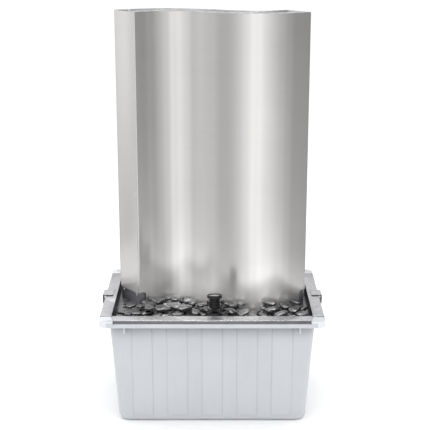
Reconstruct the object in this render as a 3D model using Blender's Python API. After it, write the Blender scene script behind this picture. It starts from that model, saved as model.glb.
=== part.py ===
"""Floor-standing water wall fountain: an S-shaped double-skinned steel column on a reservoir tub.

Frame: metres, +Z up, origin at the centre of the tub's underside, the front of the object faces -Y.
"""
import math

import bmesh
import bpy
from mathutils import Matrix, Vector

GAP = 0.0003            # clearance between touching pieces
SHEET = 0.0012          # stainless sheet of the wall
TRAY_SHEET = 0.0015     # stainless sheet of the tray rails

# Reservoir tub
RIM_TOP = 0.3052
RIM_HALF = (0.3015, 0.225)
RIM_RADIUS = 0.022
RIM_SKIRT_BOTTOM = 0.289
RIM_STEP = 0.2975       # the rim drops to here where the rails' lips hang over it
SKIRT_THICK = 0.003
TUB_BASE_HALF = (0.256, 0.181)
TUB_NECK_HALF = (0.2755, 0.2005)
TUB_NECK_Z = 0.289
TUB_WALL = 0.0026
TUB_RADIUS = 0.029
TUB_FILLET = 0.014
PANEL_WIDTH = 0.051
PANEL_PITCH = 0.094
PANEL_RISE = 0.0022
PANEL_ENDS = (0.022, 0.2835)
PANEL_SLOPE = 0.004
GUSSET_X = 0.233

# Tray that carries the pebbles: four folded rails round a slotted floor
RAIL_TOP = 0.307
TRAY_HALF = (0.2692, 0.180)
RAIL_OUT = (0.300, 0.2156)
RAIL_LIP = 0.0085
RAIL_END_SLANT = 0.007
TRAY_CORNER_OPEN = 0.012
LEDGE = 0.012
FLOOR_TOP = 0.270
FLOOR_THICK = 0.0025
SLOT_COLUMNS = 3
SLOT_ROWS = 14
SLOT_WIDTH = 0.012

# The wall: two tangent arcs in plan
WALL_CENTRE = (-0.002, 0.030)
WALL_HALF_CHORD = 0.2345
WALL_SWEEP = math.radians(39.0)     # each arc turns from -39 to +39 degrees
WALL_THICK = 0.096
WALL_TOP = 1.0935
SKIN_BOTTOM = 0.2755
END_BOTTOM = 0.307
NOTCH_WIDTH = 0.022
NOTCH_TOPS = (0.310, 0.323)
NOTCH_RADIUS = 0.009
ARC_STEPS = 18
ARC_RADIUS = WALL_HALF_CHORD / 2 / math.sin(WALL_SWEEP)
WALL_LENGTH = 4 * ARC_RADIUS * WALL_SWEEP

RIB_INSET = 0.018       # the form ribs stop short of the end panels' flanges
TROUGH_INSET = 0.0025   # the trough and its cover run up to the end panels
TROUGH_DEPTH = 0.046
TROUGH_LIP_DROP = 0.002
DIFFUSER_DROP = 0.005
RIB_HEIGHTS = (0.42, 0.66, 0.90)
PIPE_RADIUS = 0.008
HOSE_RADIUS = 0.0095

# Feet of the wall
FOOT_SETBACK = 0.003
FOOT_LENGTH = 0.030
FOOT_HALF_WIDTH = 0.0435
FOOT_TOP = 0.329
FOOT_PLATE = 0.002
FOOT_SCREW_Z = 0.3005
FOOT_SCREW_OUT = 0.031
BOLT_INSET = 0.017

# Spotlight
LAMP = (0.0065, -0.155)
LAMP_PIVOT_Z = 0.336
LAMP_PIVOT_BORE = 0.0023
LAMP_LEAN = math.radians(8.0)
LEAD_RADIUS = 0.0018

# Pump, on the tub's floor under the middle of the wall
PUMP_CENTRE = (0.0, 0.030)
PUMP_SIZE = (0.075, 0.058, 0.056)
PUMP_BOTTOM = 0.0140
IMPELLER_Z = 0.040
KNOB_OUT = 0.026        # the flow knob and the suction feet stand this far from the pump's middle
SUCTION_FOOT_DEEP = 0.019
LAMP_SOCKET = (0.030, 0.036)
CABLE_GLAND = (-0.018, 0.036)

BOLT_HOLE = 0.0045

CLIP_HALF_LENGTH = 0.0215
CLIP_SHEET = 0.003

PEBBLE_TOP = 0.3115


# ---------------------------------------------------------------- helpers

def clear_scene():
    for item in list(bpy.data.objects):
        bpy.data.objects.remove(item, do_unlink=True)


def make_material(name, colour, roughness, metallic=0.0):
    material = bpy.data.materials.new(name)
    material.use_nodes = True
    shader = material.node_tree.nodes["Principled BSDF"]
    shader.inputs["Base Color"].default_value = (*colour, 1.0)
    shader.inputs["Roughness"].default_value = roughness
    shader.inputs["Metallic"].default_value = metallic
    return material


def link_object(name, bm, material, smooth=False):
    """Turn a bmesh into a scene object with outward faces."""
    bmesh.ops.recalc_face_normals(bm, faces=bm.faces)
    mesh = bpy.data.meshes.new(name)
    bm.to_mesh(mesh)
    bm.free()
    if smooth:
        mesh.shade_smooth()
        mesh.set_sharp_from_angle(angle=math.radians(35))
    item = bpy.data.objects.new(name, mesh)
    bpy.context.scene.collection.objects.link(item)
    if material:
        item.data.materials.append(material)
    return item


def hide_cutter(item):
    item.hide_render = True
    item.display_type = "WIRE"


def boolean(target, name, bm, operation="DIFFERENCE"):
    """Cut a tool mesh from an object, or join it on."""
    tool = link_object(name, bm, None)
    hide_cutter(tool)
    modifier = target.modifiers.new(name, "BOOLEAN")
    modifier.operation = operation
    modifier.solver = "EXACT"
    modifier.object = tool


def bridge(bm, ring_a, ring_b):
    count = len(ring_a)
    for i in range(count):
        j = (i + 1) % count
        bm.faces.new((ring_a[i], ring_a[j], ring_b[j], ring_b[i]))


def loft(bm, rings, closed=False):
    """Skin a list of point rings; the first and last are capped unless the loft is closed."""
    vert_rings = [[bm.verts.new(point) for point in ring] for ring in rings]
    for lower, upper in zip(vert_rings, vert_rings[1:]):
        bridge(bm, lower, upper)
    if closed:
        bridge(bm, vert_rings[-1], vert_rings[0])
    else:
        bm.faces.new(vert_rings[0])
        bm.faces.new(vert_rings[-1])


def add_prism(bm, outline, bottom, top):
    loft(bm, [[(x, y, z) for x, y in outline] for z in (bottom, top)])


def add_box(bm, low, high, matrix=None):
    corners = [(low[0], low[1]), (high[0], low[1]), (high[0], high[1]), (low[0], high[1])]
    rings = [[Vector((x, y, z)) for x, y in corners] for z in (low[2], high[2])]
    if matrix:
        rings = [[matrix @ point for point in ring] for ring in rings]
    loft(bm, rings)


def circle(radius, count, phase=0.0):
    turns = [phase + 2 * math.pi * i / count for i in range(count)]
    return [(radius * math.cos(a), radius * math.sin(a)) for a in turns]


def add_turned(bm, profile, sides, matrix, ring=False):
    """Revolve (radius, height) points about the matrix's Z axis; ring=True closes it on itself."""
    rings = []
    for radius, height in profile:
        rings.append([matrix @ Vector((x, y, height)) for x, y in circle(radius, sides)])
    loft(bm, rings, closed=ring)


def add_cylinder(bm, radius, low, high, sides, matrix):
    add_turned(bm, [(radius, low), (radius, high)], sides, matrix)


def axis_frame(origin, direction):
    """A matrix whose Z axis runs along the direction."""
    rotation = Vector((0, 0, 1)).rotation_difference(Vector(direction)).to_matrix().to_4x4()
    return Matrix.Translation(origin) @ rotation


def rounded_outline(half, radius, corner_steps=5):
    """Counter-clockwise rounded rectangle in plan."""
    points = []
    for quarter, (sx, sy) in enumerate(((1, 1), (-1, 1), (-1, -1), (1, -1))):
        centre = (sx * (half[0] - radius), sy * (half[1] - radius))
        for i in range(corner_steps + 1):
            angle = math.pi / 2 * (quarter + i / corner_steps)
            points.append((centre[0] + radius * math.cos(angle), centre[1] + radius * math.sin(angle)))
    return points


def offset_polyline(points, distance):
    """Points shifted to the left of their path by the distance, with mitred corners."""
    shifted = []
    for i, point in enumerate(points):
        here = Vector(point)
        before = Vector(points[i - 1]) if i else None
        after = Vector(points[i + 1]) if i + 1 < len(points) else None
        normals = []
        for start, end in ((before, here), (here, after)):
            if start is not None and end is not None:
                run = (end - start).normalized()
                normals.append(Vector((-run.y, run.x)))
        mitre = sum(normals, Vector((0, 0))).normalized()
        shifted.append(here + mitre * (distance / mitre.dot(normals[0])))
    return [tuple(p) for p in shifted]


def folded_section(points, thickness):
    """The outline of a folded sheet whose one face follows the points."""
    return list(points) + offset_polyline(points, thickness)[::-1]


def smooth_path(anchors, spacing):
    """A Catmull-Rom curve through the anchors, sampled at about the spacing."""
    ends = [2 * Vector(anchors[0]) - Vector(anchors[1])]
    knots = ends + [Vector(a) for a in anchors] + [2 * Vector(anchors[-1]) - Vector(anchors[-2])]
    path = []
    for before, start, end, after in zip(knots, knots[1:], knots[2:], knots[3:]):
        steps = max(1, round((end - start).length / spacing))
        for i in range(steps):
            t = i / steps
            path.append(0.5 * (2 * start + (end - before) * t
                               + (2 * before - 5 * start + 4 * end - after) * t ** 2
                               + (3 * start - before - 3 * end + after) * t ** 3))
    path.append(knots[-2])
    return path


def wall_point(distance, offset):
    """Plan position at a distance along the S from its left end, offset to the back (+) or front (-)."""
    half = WALL_LENGTH / 2
    first = distance <= half
    centre_x = -WALL_HALF_CHORD / 2 if first else WALL_HALF_CHORD / 2
    angle = (distance if first else distance - half) / ARC_RADIUS - WALL_SWEEP
    side = 1 if first else -1
    radius = ARC_RADIUS + side * offset
    x = centre_x + radius * math.sin(angle)
    y = side * (radius * math.cos(angle) - ARC_RADIUS * math.cos(WALL_SWEEP))
    return x + WALL_CENTRE[0], y + WALL_CENTRE[1]


def wall_stations(start=0.0, end=WALL_LENGTH, steps=2 * ARC_STEPS):
    return [start + (end - start) * i / steps for i in range(steps + 1)]


def end_frame(side):
    """Local frame of a wall end: X runs into the wall, Y across it, Z up. side is -1 left, +1 right."""
    distance = 0.0 if side < 0 else WALL_LENGTH
    front = Vector(wall_point(distance, -WALL_THICK / 2))
    back = Vector(wall_point(distance, WALL_THICK / 2))
    across = (back - front).normalized() * (-side)
    inward = Vector((across.y, -across.x))
    middle = (front + back) / 2
    rotation = Matrix(((inward.x, across.x, 0), (inward.y, across.y, 0), (0, 0, 1))).to_4x4()
    return Matrix.Translation((middle.x, middle.y, 0)) @ rotation


# ---------------------------------------------------------------- tub

def panel_side(length, panels, rise):
    """Points (along, out) of one tub side from -length to +length with raised panels."""
    points = []
    for i in range(panels):
        middle = (i - (panels - 1) / 2) * PANEL_PITCH
        for edge in (-1, 1):
            foot = middle + edge * (PANEL_WIDTH / 2 + PANEL_SLOPE)
            crest = middle + edge * PANEL_WIDTH / 2
            pair = [(foot, 0.0), (crest, rise)]
            points += pair if edge < 0 else pair[::-1]
    return [(along, out) for along, out in points if abs(along) < length]


def tub_ring(half, radius, height, rise=0.0):
    """One level of the tub: corner arcs joined by sides that may carry raised panels."""
    corners = rounded_outline(half, radius, 4)
    steps = 5
    front = panel_side(half[0], 5, rise)
    flank = panel_side(half[1], 3, rise)
    ring = corners[:steps]
    ring += [(-along, half[1] + out) for along, out in front]
    ring += corners[steps:2 * steps]
    ring += [(-half[0] - out, -along) for along, out in flank]
    ring += corners[2 * steps:3 * steps]
    ring += [(along, -half[1] - out) for along, out in front]
    ring += corners[3 * steps:]
    ring += [(half[0] + out, along) for along, out in flank]
    return [(x, y, height) for x, y in ring]


def tub_half(height, inset=0.0):
    share = min(height / TUB_NECK_Z, 1.0)
    return tuple(b + (n - b) * share - inset for b, n in zip(TUB_BASE_HALF, TUB_NECK_HALF))


def tub_outer_rings():
    rings = []
    for i in range(4):
        turn = math.pi / 2 * i / 3
        inset = TUB_FILLET * (1 - math.sin(turn))
        height = TUB_FILLET * (1 - math.cos(turn))
        rings.append(tub_ring(tub_half(height, inset), TUB_RADIUS - inset, height))
    low, high = PANEL_ENDS
    for height, rise in ((low - PANEL_SLOPE, 0), (low, PANEL_RISE), (high, PANEL_RISE),
                         (high + PANEL_SLOPE, 0), (0.3005, 0)):
        rings.append(tub_ring(tub_half(height), TUB_RADIUS, height, rise))
    return rings


def tub_rim_rings():
    web = 0.0025
    step_half = tuple(out - GAP - TRAY_SHEET - web for out in RAIL_OUT)
    inner = tuple(h - SKIRT_THICK for h in RIM_HALF)
    soft = tuple(h - 0.0012 for h in RIM_HALF)
    return [tub_ring(step_half, 0.014, RIM_TOP - web),
            tub_ring(step_half, 0.014, RIM_STEP - web),
            tub_ring(inner, RIM_RADIUS - SKIRT_THICK, RIM_STEP - web),
            tub_ring(inner, RIM_RADIUS - SKIRT_THICK, RIM_SKIRT_BOTTOM),
            tub_ring(RIM_HALF, RIM_RADIUS, RIM_SKIRT_BOTTOM),
            tub_ring(RIM_HALF, RIM_RADIUS, RIM_TOP - 0.0012),
            tub_ring(soft, RIM_RADIUS - 0.0012, RIM_TOP)]


def tub_inner_rings():
    rings = []
    radius = TUB_RADIUS - TUB_WALL
    for height in (RIM_TOP, TUB_NECK_Z, TUB_FILLET):
        rings.append(tub_ring(tub_half(height, TUB_WALL), radius, height))
    inset = TUB_WALL + 0.0085
    rings.append(tub_ring(tub_half(TUB_WALL, inset), radius - 0.0085, TUB_WALL))
    return rings


def rim_recesses():
    """Four boxes that lower the rim's edge for the rails' lips."""
    bm = bmesh.new()
    clear = GAP + TRAY_SHEET
    for side in (-1, 1):
        face_y = RAIL_OUT[1] - clear
        ys = sorted((side * face_y, side * 0.24))
        reach = TRAY_HALF[0] - RAIL_END_SLANT + GAP
        add_box(bm, (-reach, ys[0], RIM_STEP), (reach, ys[1], 0.32))
        face_x = RAIL_OUT[0] - clear
        xs = sorted((side * face_x, side * 0.32))
        add_box(bm, (xs[0], -TRAY_HALF[1] - GAP, RIM_STEP), (xs[1], TRAY_HALF[1] + GAP, 0.32))
    return bm


def rim_gussets():
    """Thin webs under the front and rear rim."""
    bm = bmesh.new()
    for sx in (-1, 1):
        for sy in (-1, 1):
            inner = TUB_NECK_HALF[1] - 0.0025
            outer = RIM_HALF[1] - 0.002
            profile = [(inner, 0.268), (outer - 0.010, 0.268), (outer, 0.286), (outer, 0.296),
                       (inner, 0.296)]
            rings = [[(sx * GUSSET_X + dx, sy * y, z) for y, z in profile] for dx in (-0.0012, 0.0012)]
            loft(bm, rings)
    return bm


def build_tub(material):
    bm = bmesh.new()
    loft(bm, tub_outer_rings() + tub_rim_rings() + tub_inner_rings())
    tub = link_object("tub", bm, material, smooth=True)
    boolean(tub, "cut_rim_recesses", rim_recesses())
    boolean(tub, "join_rim_gussets", rim_gussets(), "UNION")


# ---------------------------------------------------------------- tray

def build_long_rail(name, side, material):
    """Front (side -1) or rear rail: lip, top flange, inner wall and the ledge under the floor."""
    out, inn = RAIL_OUT[1], TRAY_HALF[1]
    ledge_top = FLOOR_TOP - FLOOR_THICK - GAP
    wall_top = RAIL_TOP - TRAY_SHEET / 2
    path = [(out, RAIL_TOP - RAIL_LIP), (out, RAIL_TOP), (inn, RAIL_TOP)]
    section = folded_section(path, TRAY_SHEET)
    wall = [(inn, wall_top), (inn, ledge_top), (inn - LEDGE, ledge_top),
            (inn - LEDGE, ledge_top - TRAY_SHEET), (inn + TRAY_SHEET, ledge_top - TRAY_SHEET),
            (inn + TRAY_SHEET, wall_top)]
    rings = []
    for sx in (-1, 1):
        ring = []
        for y, z in section:
            reach = TRAY_HALF[0] - RAIL_END_SLANT * (y - inn) / (out - inn)
            ring.append((sx * reach, side * y, z))
        rings.append(ring)
    bm = bmesh.new()
    loft(bm, rings)
    rail = link_object(name, bm, material)
    reach = TRAY_HALF[0] - TRAY_CORNER_OPEN
    bm = bmesh.new()
    loft(bm, [[(sx * reach, side * y, z) for y, z in wall] for sx in (-1, 1)])
    boolean(rail, name + "_wall", bm, "UNION")


def build_side_rail(name, side, material):
    """Left (side -1) or right rail: lip, top flange and inner wall."""
    out, inn = RAIL_OUT[0], TRAY_HALF[0]
    path = [(out, RAIL_TOP - RAIL_LIP), (out, RAIL_TOP), (inn, RAIL_TOP)]
    section = folded_section(path, TRAY_SHEET)
    reach = TRAY_HALF[1] - GAP
    bm = bmesh.new()
    loft(bm, [[(side * x, sy * reach, z) for x, z in section] for sy in (-1, 1)])
    rail = link_object(name, bm, material)
    reach = TRAY_HALF[1] - TRAY_CORNER_OPEN
    bm = bmesh.new()
    low = (inn if side > 0 else -inn - TRAY_SHEET, -reach, FLOOR_TOP - FLOOR_THICK - GAP)
    high = (inn + TRAY_SHEET if side > 0 else -inn, reach, RAIL_TOP - TRAY_SHEET / 2)
    add_box(bm, low, high)
    boolean(rail, name + "_wall", bm, "UNION")


def slotted_plate(bm, xs, ys, is_open, bottom, top):
    """A plate on a grid of lines, with through openings where is_open(i, j) says so."""
    verts = [[[bm.verts.new((x, y, z)) for y in ys] for x in xs] for z in (bottom, top)]
    solid = {(i, j) for i in range(len(xs) - 1) for j in range(len(ys) - 1) if not is_open(i, j)}
    for i, j in solid:
        for layer in verts:
            bm.faces.new((layer[i][j], layer[i + 1][j], layer[i + 1][j + 1], layer[i][j + 1]))
        edges = (((i, j), (i + 1, j), (i, j - 1)), ((i + 1, j), (i + 1, j + 1), (i + 1, j)),
                 ((i + 1, j + 1), (i, j + 1), (i, j + 1)), ((i, j + 1), (i, j), (i - 1, j)))
        for (ai, aj), (bi, bj), neighbour in edges:
            if neighbour not in solid:
                bm.faces.new((verts[0][ai][aj], verts[0][bi][bj], verts[1][bi][bj], verts[1][ai][aj]))
    loose = [vert for vert in bm.verts if not vert.link_faces]
    bmesh.ops.delete(bm, geom=loose, context="VERTS")


def grid_lines(half, count, opening):
    """Edge lines of a row of equal openings centred on zero, with solid bars between them."""
    bar = (2 * half - count * opening) / (count + 1)
    lines = [-half]
    for i in range(count):
        start = -half + bar + i * (opening + bar)
        lines += [start, start + opening]
    return lines + [half]


def bolt_position(side):
    return end_frame(side) @ Vector((BOLT_INSET, 0, 0))


def build_floor(material):
    half = (TRAY_HALF[0] - 0.0006, TRAY_HALF[1] - 0.0006)
    xs = grid_lines(half[0], SLOT_COLUMNS, 0.160)
    ys = grid_lines(half[1], SLOT_ROWS, SLOT_WIDTH)
    bm = bmesh.new()
    slotted_plate(bm, xs, ys, lambda i, j: i % 2 == 1 and j % 2 == 1,
                  FLOOR_TOP - FLOOR_THICK, FLOOR_TOP)
    floor = link_object("tray_floor", bm, material)
    bm = bmesh.new()
    centre = Matrix.Translation((*WALL_CENTRE, 0))
    add_cylinder(bm, 0.016, FLOOR_TOP - 0.01, FLOOR_TOP + 0.01, 20, centre)
    for side in (-1, 1):
        place = Matrix.Translation(bolt_position(side))
        add_cylinder(bm, BOLT_HOLE, FLOOR_TOP - 0.01, FLOOR_TOP + 0.01, 12, place)
    boolean(floor, "cut_floor_holes", bm)


def build_cross_beam(name, side, material):
    """A rectangular tube under the floor that carries one foot of the wall."""
    middle = bolt_position(side).x
    top = FLOOR_TOP - FLOOR_THICK - GAP
    reach = TRAY_HALF[1] - LEDGE - GAP
    rings = []
    for half_width, low, high, sy in ((0.015, top - 0.020, top, -1), (0.015, top - 0.020, top, 1),
                                      (0.013, top - 0.018, top - 0.002, 1),
                                      (0.013, top - 0.018, top - 0.002, -1)):
        corners = ((-half_width, low), (half_width, low), (half_width, high), (-half_width, high))
        rings.append([(middle + x, sy * reach, z) for x, z in corners])
    bm = bmesh.new()
    loft(bm, rings, closed=True)
    beam = link_object(name, bm, material)
    bm = bmesh.new()
    add_cylinder(bm, BOLT_HOLE, top - 0.008, top + 0.004, 12, Matrix.Translation(bolt_position(side)))
    boolean(beam, name + "_hole", bm)


def build_rim_clip(name, side, material):
    """A C-shaped spring clip gripping the rail and the tub's rim."""
    out = RIM_HALF[0] + 0.0070
    top = RAIL_TOP + GAP + CLIP_SHEET
    low = RIM_SKIRT_BOTTOM - 0.0015
    path = [(0.2785, RAIL_TOP + GAP), (out - CLIP_SHEET, RAIL_TOP + GAP), (out - CLIP_SHEET, low),
            (0.2835, low)]
    outer = [(0.2835, low - CLIP_SHEET), (out - 0.002, low - CLIP_SHEET), (out, low - CLIP_SHEET + 0.002),
             (out, top - 0.0015), (out - 0.0015, top), (0.2795, top), (0.2785, top - 0.001)]
    section = path + outer
    bm = bmesh.new()
    loft(bm, [[(side * x, sy * CLIP_HALF_LENGTH, z) for x, z in section] for sy in (-1, 1)])
    link_object(name, bm, material)


# ---------------------------------------------------------------- wall

def swept_section(bm, section, stations):
    """Sweep (offset, height) points along the S."""
    rings = []
    for distance in stations:
        rings.append([(*wall_point(distance, offset), z) for offset, z in section])
    loft(bm, rings)


def notch_cutters(heights):
    """Rounded blocks that open the lower corners of a skin."""
    bm = bmesh.new()
    for side, top in zip((-1, 1), heights):
        frame = end_frame(side)
        outline = [(-0.01, 0.25), (NOTCH_WIDTH, 0.25)]
        for i in range(5):
            turn = math.pi / 2 * i / 4
            outline.append((NOTCH_WIDTH - NOTCH_RADIUS * (1 - math.cos(turn)),
                            top - NOTCH_RADIUS * (1 - math.sin(turn))))
        outline.append((-0.01, top))
        for face in (-1, 1):
            reach = (face * 0.044, face * 0.054)
            loft(bm, [[frame @ Vector((u, across, z)) for u, z in outline] for across in reach])
    return bm


def build_skin(name, side, material):
    """Front (side -1) or back skin: one S-shaped sheet with notched lower corners."""
    outer = WALL_THICK / 2
    inner = outer - SHEET
    section = [(side * outer, SKIN_BOTTOM), (side * outer, WALL_TOP), (side * inner, WALL_TOP),
               (side * inner, SKIN_BOTTOM)]
    bm = bmesh.new()
    swept_section(bm, section, wall_stations())
    skin = link_object(name, bm, material, smooth=True)
    heights = NOTCH_TOPS if side < 0 else NOTCH_TOPS[::-1]
    boolean(skin, name + "_notches", notch_cutters(heights))


def build_wall_end(name, side, material):
    """A flat end panel with flanges turned in behind the skins."""
    half = WALL_THICK / 2 - SHEET - GAP
    flange = 0.012
    lean = 0.0006
    outline = [(0, -half), (0, half), (flange, half - lean), (flange, half - lean - SHEET),
               (SHEET, half - SHEET), (SHEET, -half + SHEET), (flange, -half + lean + SHEET),
               (flange, -half + lean)]
    frame = end_frame(side)
    bm = bmesh.new()
    rings = [[frame @ Vector((u, v, z)) for u, v in outline] for z in (END_BOTTOM, WALL_TOP)]
    loft(bm, rings)
    panel = link_object(name, bm, material)
    trough_low = WALL_TOP - TROUGH_LIP_DROP - TROUGH_DEPTH
    bm = bmesh.new()
    add_box(bm, (SHEET, -half - 0.005, trough_low - 2 * GAP), (0.02, half + 0.005, WALL_TOP + 0.01), frame)
    boolean(panel, name + "_relief", bm)


def build_trough(material):
    """The water channel under the top edge, with a hole for the feed stub."""
    outer = WALL_THICK / 2 - SHEET - GAP
    top = WALL_TOP - TROUGH_LIP_DROP
    low = top - TROUGH_DEPTH
    section = [(outer, low), (outer, top), (outer - SHEET, top), (outer - SHEET, low + SHEET),
               (-outer + SHEET, low + SHEET), (-outer + SHEET, top), (-outer, top), (-outer, low)]
    bm = bmesh.new()
    swept_section(bm, section, wall_stations(TROUGH_INSET, WALL_LENGTH - TROUGH_INSET))
    trough = link_object("wall_trough", bm, material, smooth=True)
    bm = bmesh.new()
    place = Matrix.Translation((*WALL_CENTRE, 0))
    add_cylinder(bm, PIPE_RADIUS + 0.0006, low - 0.01, low + 0.01, 16, place)
    boolean(trough, "cut_feed_hole", bm)


def bend_plate(bm, lines, stations, is_open, bottom, top):
    """A slotted plate laid along the S: grid built flat, then bent to the wall's plan."""
    slotted_plate(bm, stations, lines, is_open, bottom, top)
    for vert in bm.verts:
        x, y = wall_point(vert.co.x, vert.co.y)
        vert.co = Vector((x, y, vert.co.z))


def build_diffuser(material):
    """The slotted plate the water wells up through, just below the lips."""
    half = WALL_THICK / 2 - 2 * SHEET - 2 * GAP
    lines = [-half, -0.030, -0.024, 0.024, 0.030, half]
    stations = wall_stations(TROUGH_INSET, WALL_LENGTH - TROUGH_INSET, 31)
    top = WALL_TOP - DIFFUSER_DROP
    bm = bmesh.new()
    bend_plate(bm, lines, stations, lambda i, j: i % 2 == 1 and j in (1, 3), top - SHEET, top)
    link_object("diffuser_plate", bm, material)


def build_rib(name, height, material):
    """A form rib that holds the two skins in their S, with windows for the hose."""
    half = WALL_THICK / 2 - SHEET - GAP
    windows = 5
    stations = wall_stations(RIB_INSET, WALL_LENGTH - RIB_INSET, 6 * windows + 1)
    lines = [-half, -0.030, 0.030, half]
    bm = bmesh.new()
    bend_plate(bm, lines, stations, lambda i, j: j == 1 and i % 6 != 0, height, height + 0.002)
    link_object(name, bm, material)


def swept_pipe(bm, radius, sides, stations, height):
    rings = []
    for distance in stations:
        ring = []
        for offset, rise in circle(radius, sides):
            ring.append((*wall_point(distance, offset), height + rise))
        rings.append(ring)
    loft(bm, rings)


def build_spreader(material):
    """The feed pipe in the trough: a hollow S-shaped pipe with a stub down to the hose."""
    floor = WALL_TOP - TROUGH_LIP_DROP - TROUGH_DEPTH + SHEET
    height = floor + PIPE_RADIUS + 0.006
    place = Matrix.Translation((*WALL_CENTRE, 0))
    bm = bmesh.new()
    swept_pipe(bm, PIPE_RADIUS, 8, wall_stations(0.03, WALL_LENGTH - 0.03, 16), height)
    pipe = link_object("spreader_pipe", bm, material, smooth=True)
    bm = bmesh.new()
    add_cylinder(bm, PIPE_RADIUS - 0.0002, floor - 0.030, height, 16, place)
    boolean(pipe, "join_stub", bm, "UNION")
    bm = bmesh.new()
    swept_pipe(bm, PIPE_RADIUS - 0.0015, 8, wall_stations(0.02, WALL_LENGTH - 0.02, 17), height)
    boolean(pipe, "cut_pipe_bore", bm)
    bm = bmesh.new()
    add_cylinder(bm, PIPE_RADIUS - 0.0022, floor - 0.035, height, 16, place)
    boolean(pipe, "cut_stub_bore", bm)
    return floor - 0.030


def build_foot(name, side, material):
    """An open shoe under a wall end: end plate, two cheeks and a sole."""
    frame = end_frame(side)
    sole = FLOOR_TOP + GAP
    bm = bmesh.new()
    add_box(bm, (FOOT_SETBACK, -FOOT_HALF_WIDTH, sole),
            (FOOT_SETBACK + FOOT_LENGTH, FOOT_HALF_WIDTH, FOOT_TOP), frame)
    foot = link_object(name, bm, material)
    inner = FOOT_HALF_WIDTH - FOOT_PLATE
    bm = bmesh.new()
    add_box(bm, (FOOT_SETBACK + FOOT_PLATE, -inner, sole + FOOT_PLATE),
            (FOOT_SETBACK + FOOT_LENGTH + 0.01, inner, FOOT_TOP + 0.01), frame)
    boolean(foot, name + "_inside", bm)
    bm = bmesh.new()
    add_cylinder(bm, BOLT_HOLE, sole - 0.01, sole + 0.01, 12, Matrix.Translation(bolt_position(side)))
    for across in (-FOOT_SCREW_OUT, FOOT_SCREW_OUT):
        place = frame @ axis_frame((FOOT_SETBACK, across, FOOT_SCREW_Z), (1, 0, 0))
        add_cylinder(bm, 0.0024, -0.005, 0.01, 12, place)
    boolean(foot, name + "_holes", bm)


def build_foot_screw(name, side, across, material):
    place = end_frame(side) @ axis_frame((FOOT_SETBACK, across, FOOT_SCREW_Z), (1, 0, 0))
    profile = [(0.0018, -0.0026), (0.0034, -0.0022), (0.0040, -0.0012), (0.0040, -GAP),
               (0.0020, -GAP), (0.0020, 0.0080)]
    bm = bmesh.new()
    add_turned(bm, profile, 12, place)
    link_object(name, bm, material, smooth=True)


def build_wall_bolt(name, side, material):
    """Hexagon-head bolt through the sole, the tray floor and the beam's upper wall."""
    place = Matrix.Translation(bolt_position(side))
    head_low = FLOOR_TOP + 2 * GAP + FOOT_PLATE
    bm = bmesh.new()
    profile = [(0.0040, FLOOR_TOP - 0.014), (0.0040, head_low), (0.0073, head_low),
               (0.0075, head_low + 0.0006), (0.0075, head_low + 0.0048), (0.0068, head_low + 0.0055)]
    add_turned(bm, profile, 6, place)
    link_object(name, bm, material)


# ---------------------------------------------------------------- water supply

def add_tube(bm, path, outer, bore, sides):
    """A hollow tube with open ends along a path of points."""
    rings = []
    frames = []
    for i, point in enumerate(path):
        ahead = path[min(i + 1, len(path) - 1)]
        behind = path[max(i - 1, 0)]
        frames.append(axis_frame(point, Vector(ahead) - Vector(behind)))
    for radius, order in ((outer, frames), (bore, frames[::-1])):
        for frame in order:
            rings.append([frame @ Vector((x, y, 0)) for x, y in circle(radius, sides)])
    loft(bm, rings, closed=True)


def build_hose(material, top):
    low = PUMP_BOTTOM + PUMP_SIZE[2] + 0.012
    high = top + 0.020
    sway = 0.003
    path = []
    steps = 12
    for i in range(steps + 1):
        share = i / steps
        bend = sway * math.sin(2 * math.pi * share) ** 2 * math.sin(math.pi * share)
        path.append((WALL_CENTRE[0] + bend, WALL_CENTRE[1], low + (high - low) * share))
    bm = bmesh.new()
    add_tube(bm, path, HOSE_RADIUS + 0.0015, PIPE_RADIUS + GAP, 12)
    link_object("riser_hose", bm, material, smooth=True)


def build_hose_clamp(name, height, material):
    """A worm-drive band round the hose with its screw housing."""
    place = Matrix.Translation((*WALL_CENTRE, height))
    inner = HOSE_RADIUS + 0.0015 + 0.0004
    profile = [(inner, -0.0045), (inner + 0.0009, -0.0045), (inner + 0.0009, 0.0045), (inner, 0.0045)]
    bm = bmesh.new()
    add_turned(bm, profile, 24, place, ring=True)
    clamp = link_object(name, bm, material, smooth=True)
    bm = bmesh.new()
    add_box(bm, (inner + 0.0004, -0.007, -0.0045), (inner + 0.0080, 0.007, 0.0045), place)
    boolean(clamp, name + "_housing", bm, "UNION")


def build_pump(materials):
    cx, cy = PUMP_CENTRE
    sx, sy, sz = PUMP_SIZE
    low = PUMP_BOTTOM
    front = cy - sy / 2
    body_outline = [(x + cx, y + cy) for x, y in rounded_outline((sx / 2, sy / 2), 0.010, 3)]
    bm = bmesh.new()
    add_prism(bm, body_outline, low, low + sz)
    body = link_object("pump_body", bm, materials["black_plastic"])
    chamber = axis_frame((cx, front - 0.01, IMPELLER_Z), (0, 1, 0))
    bm = bmesh.new()
    add_cylinder(bm, 0.0175, 0.0, 0.032, 24, chamber)
    boolean(body, "cut_chamber", bm)
    bm = bmesh.new()
    add_cylinder(bm, 0.0058, 0.045, low + sz + 0.01, 12, Matrix.Translation((*WALL_CENTRE, 0)))
    boolean(body, "cut_outlet", bm)
    bm = bmesh.new()
    add_cylinder(bm, 0.0018, 0.020, 0.038, 8, chamber)
    boolean(body, "cut_shaft_seat", bm)
    bm = bmesh.new()
    knob_seat = Matrix.Translation((cx + KNOB_OUT, cy, 0))
    add_cylinder(bm, 0.0035, low + sz - 0.006, low + sz + 0.01, 12, knob_seat)
    boolean(body, "cut_knob_seat", bm)
    build_outlet(low + sz, materials["black_plastic"])
    build_impeller(chamber, materials)
    build_pump_cover(front, materials["black_plastic"])
    build_flow_knob(cx + KNOB_OUT, cy, low + sz, materials["grey_plastic"])
    build_suction_feet(materials["rubber"])
    build_cable_gland(materials["rubber"])


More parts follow.
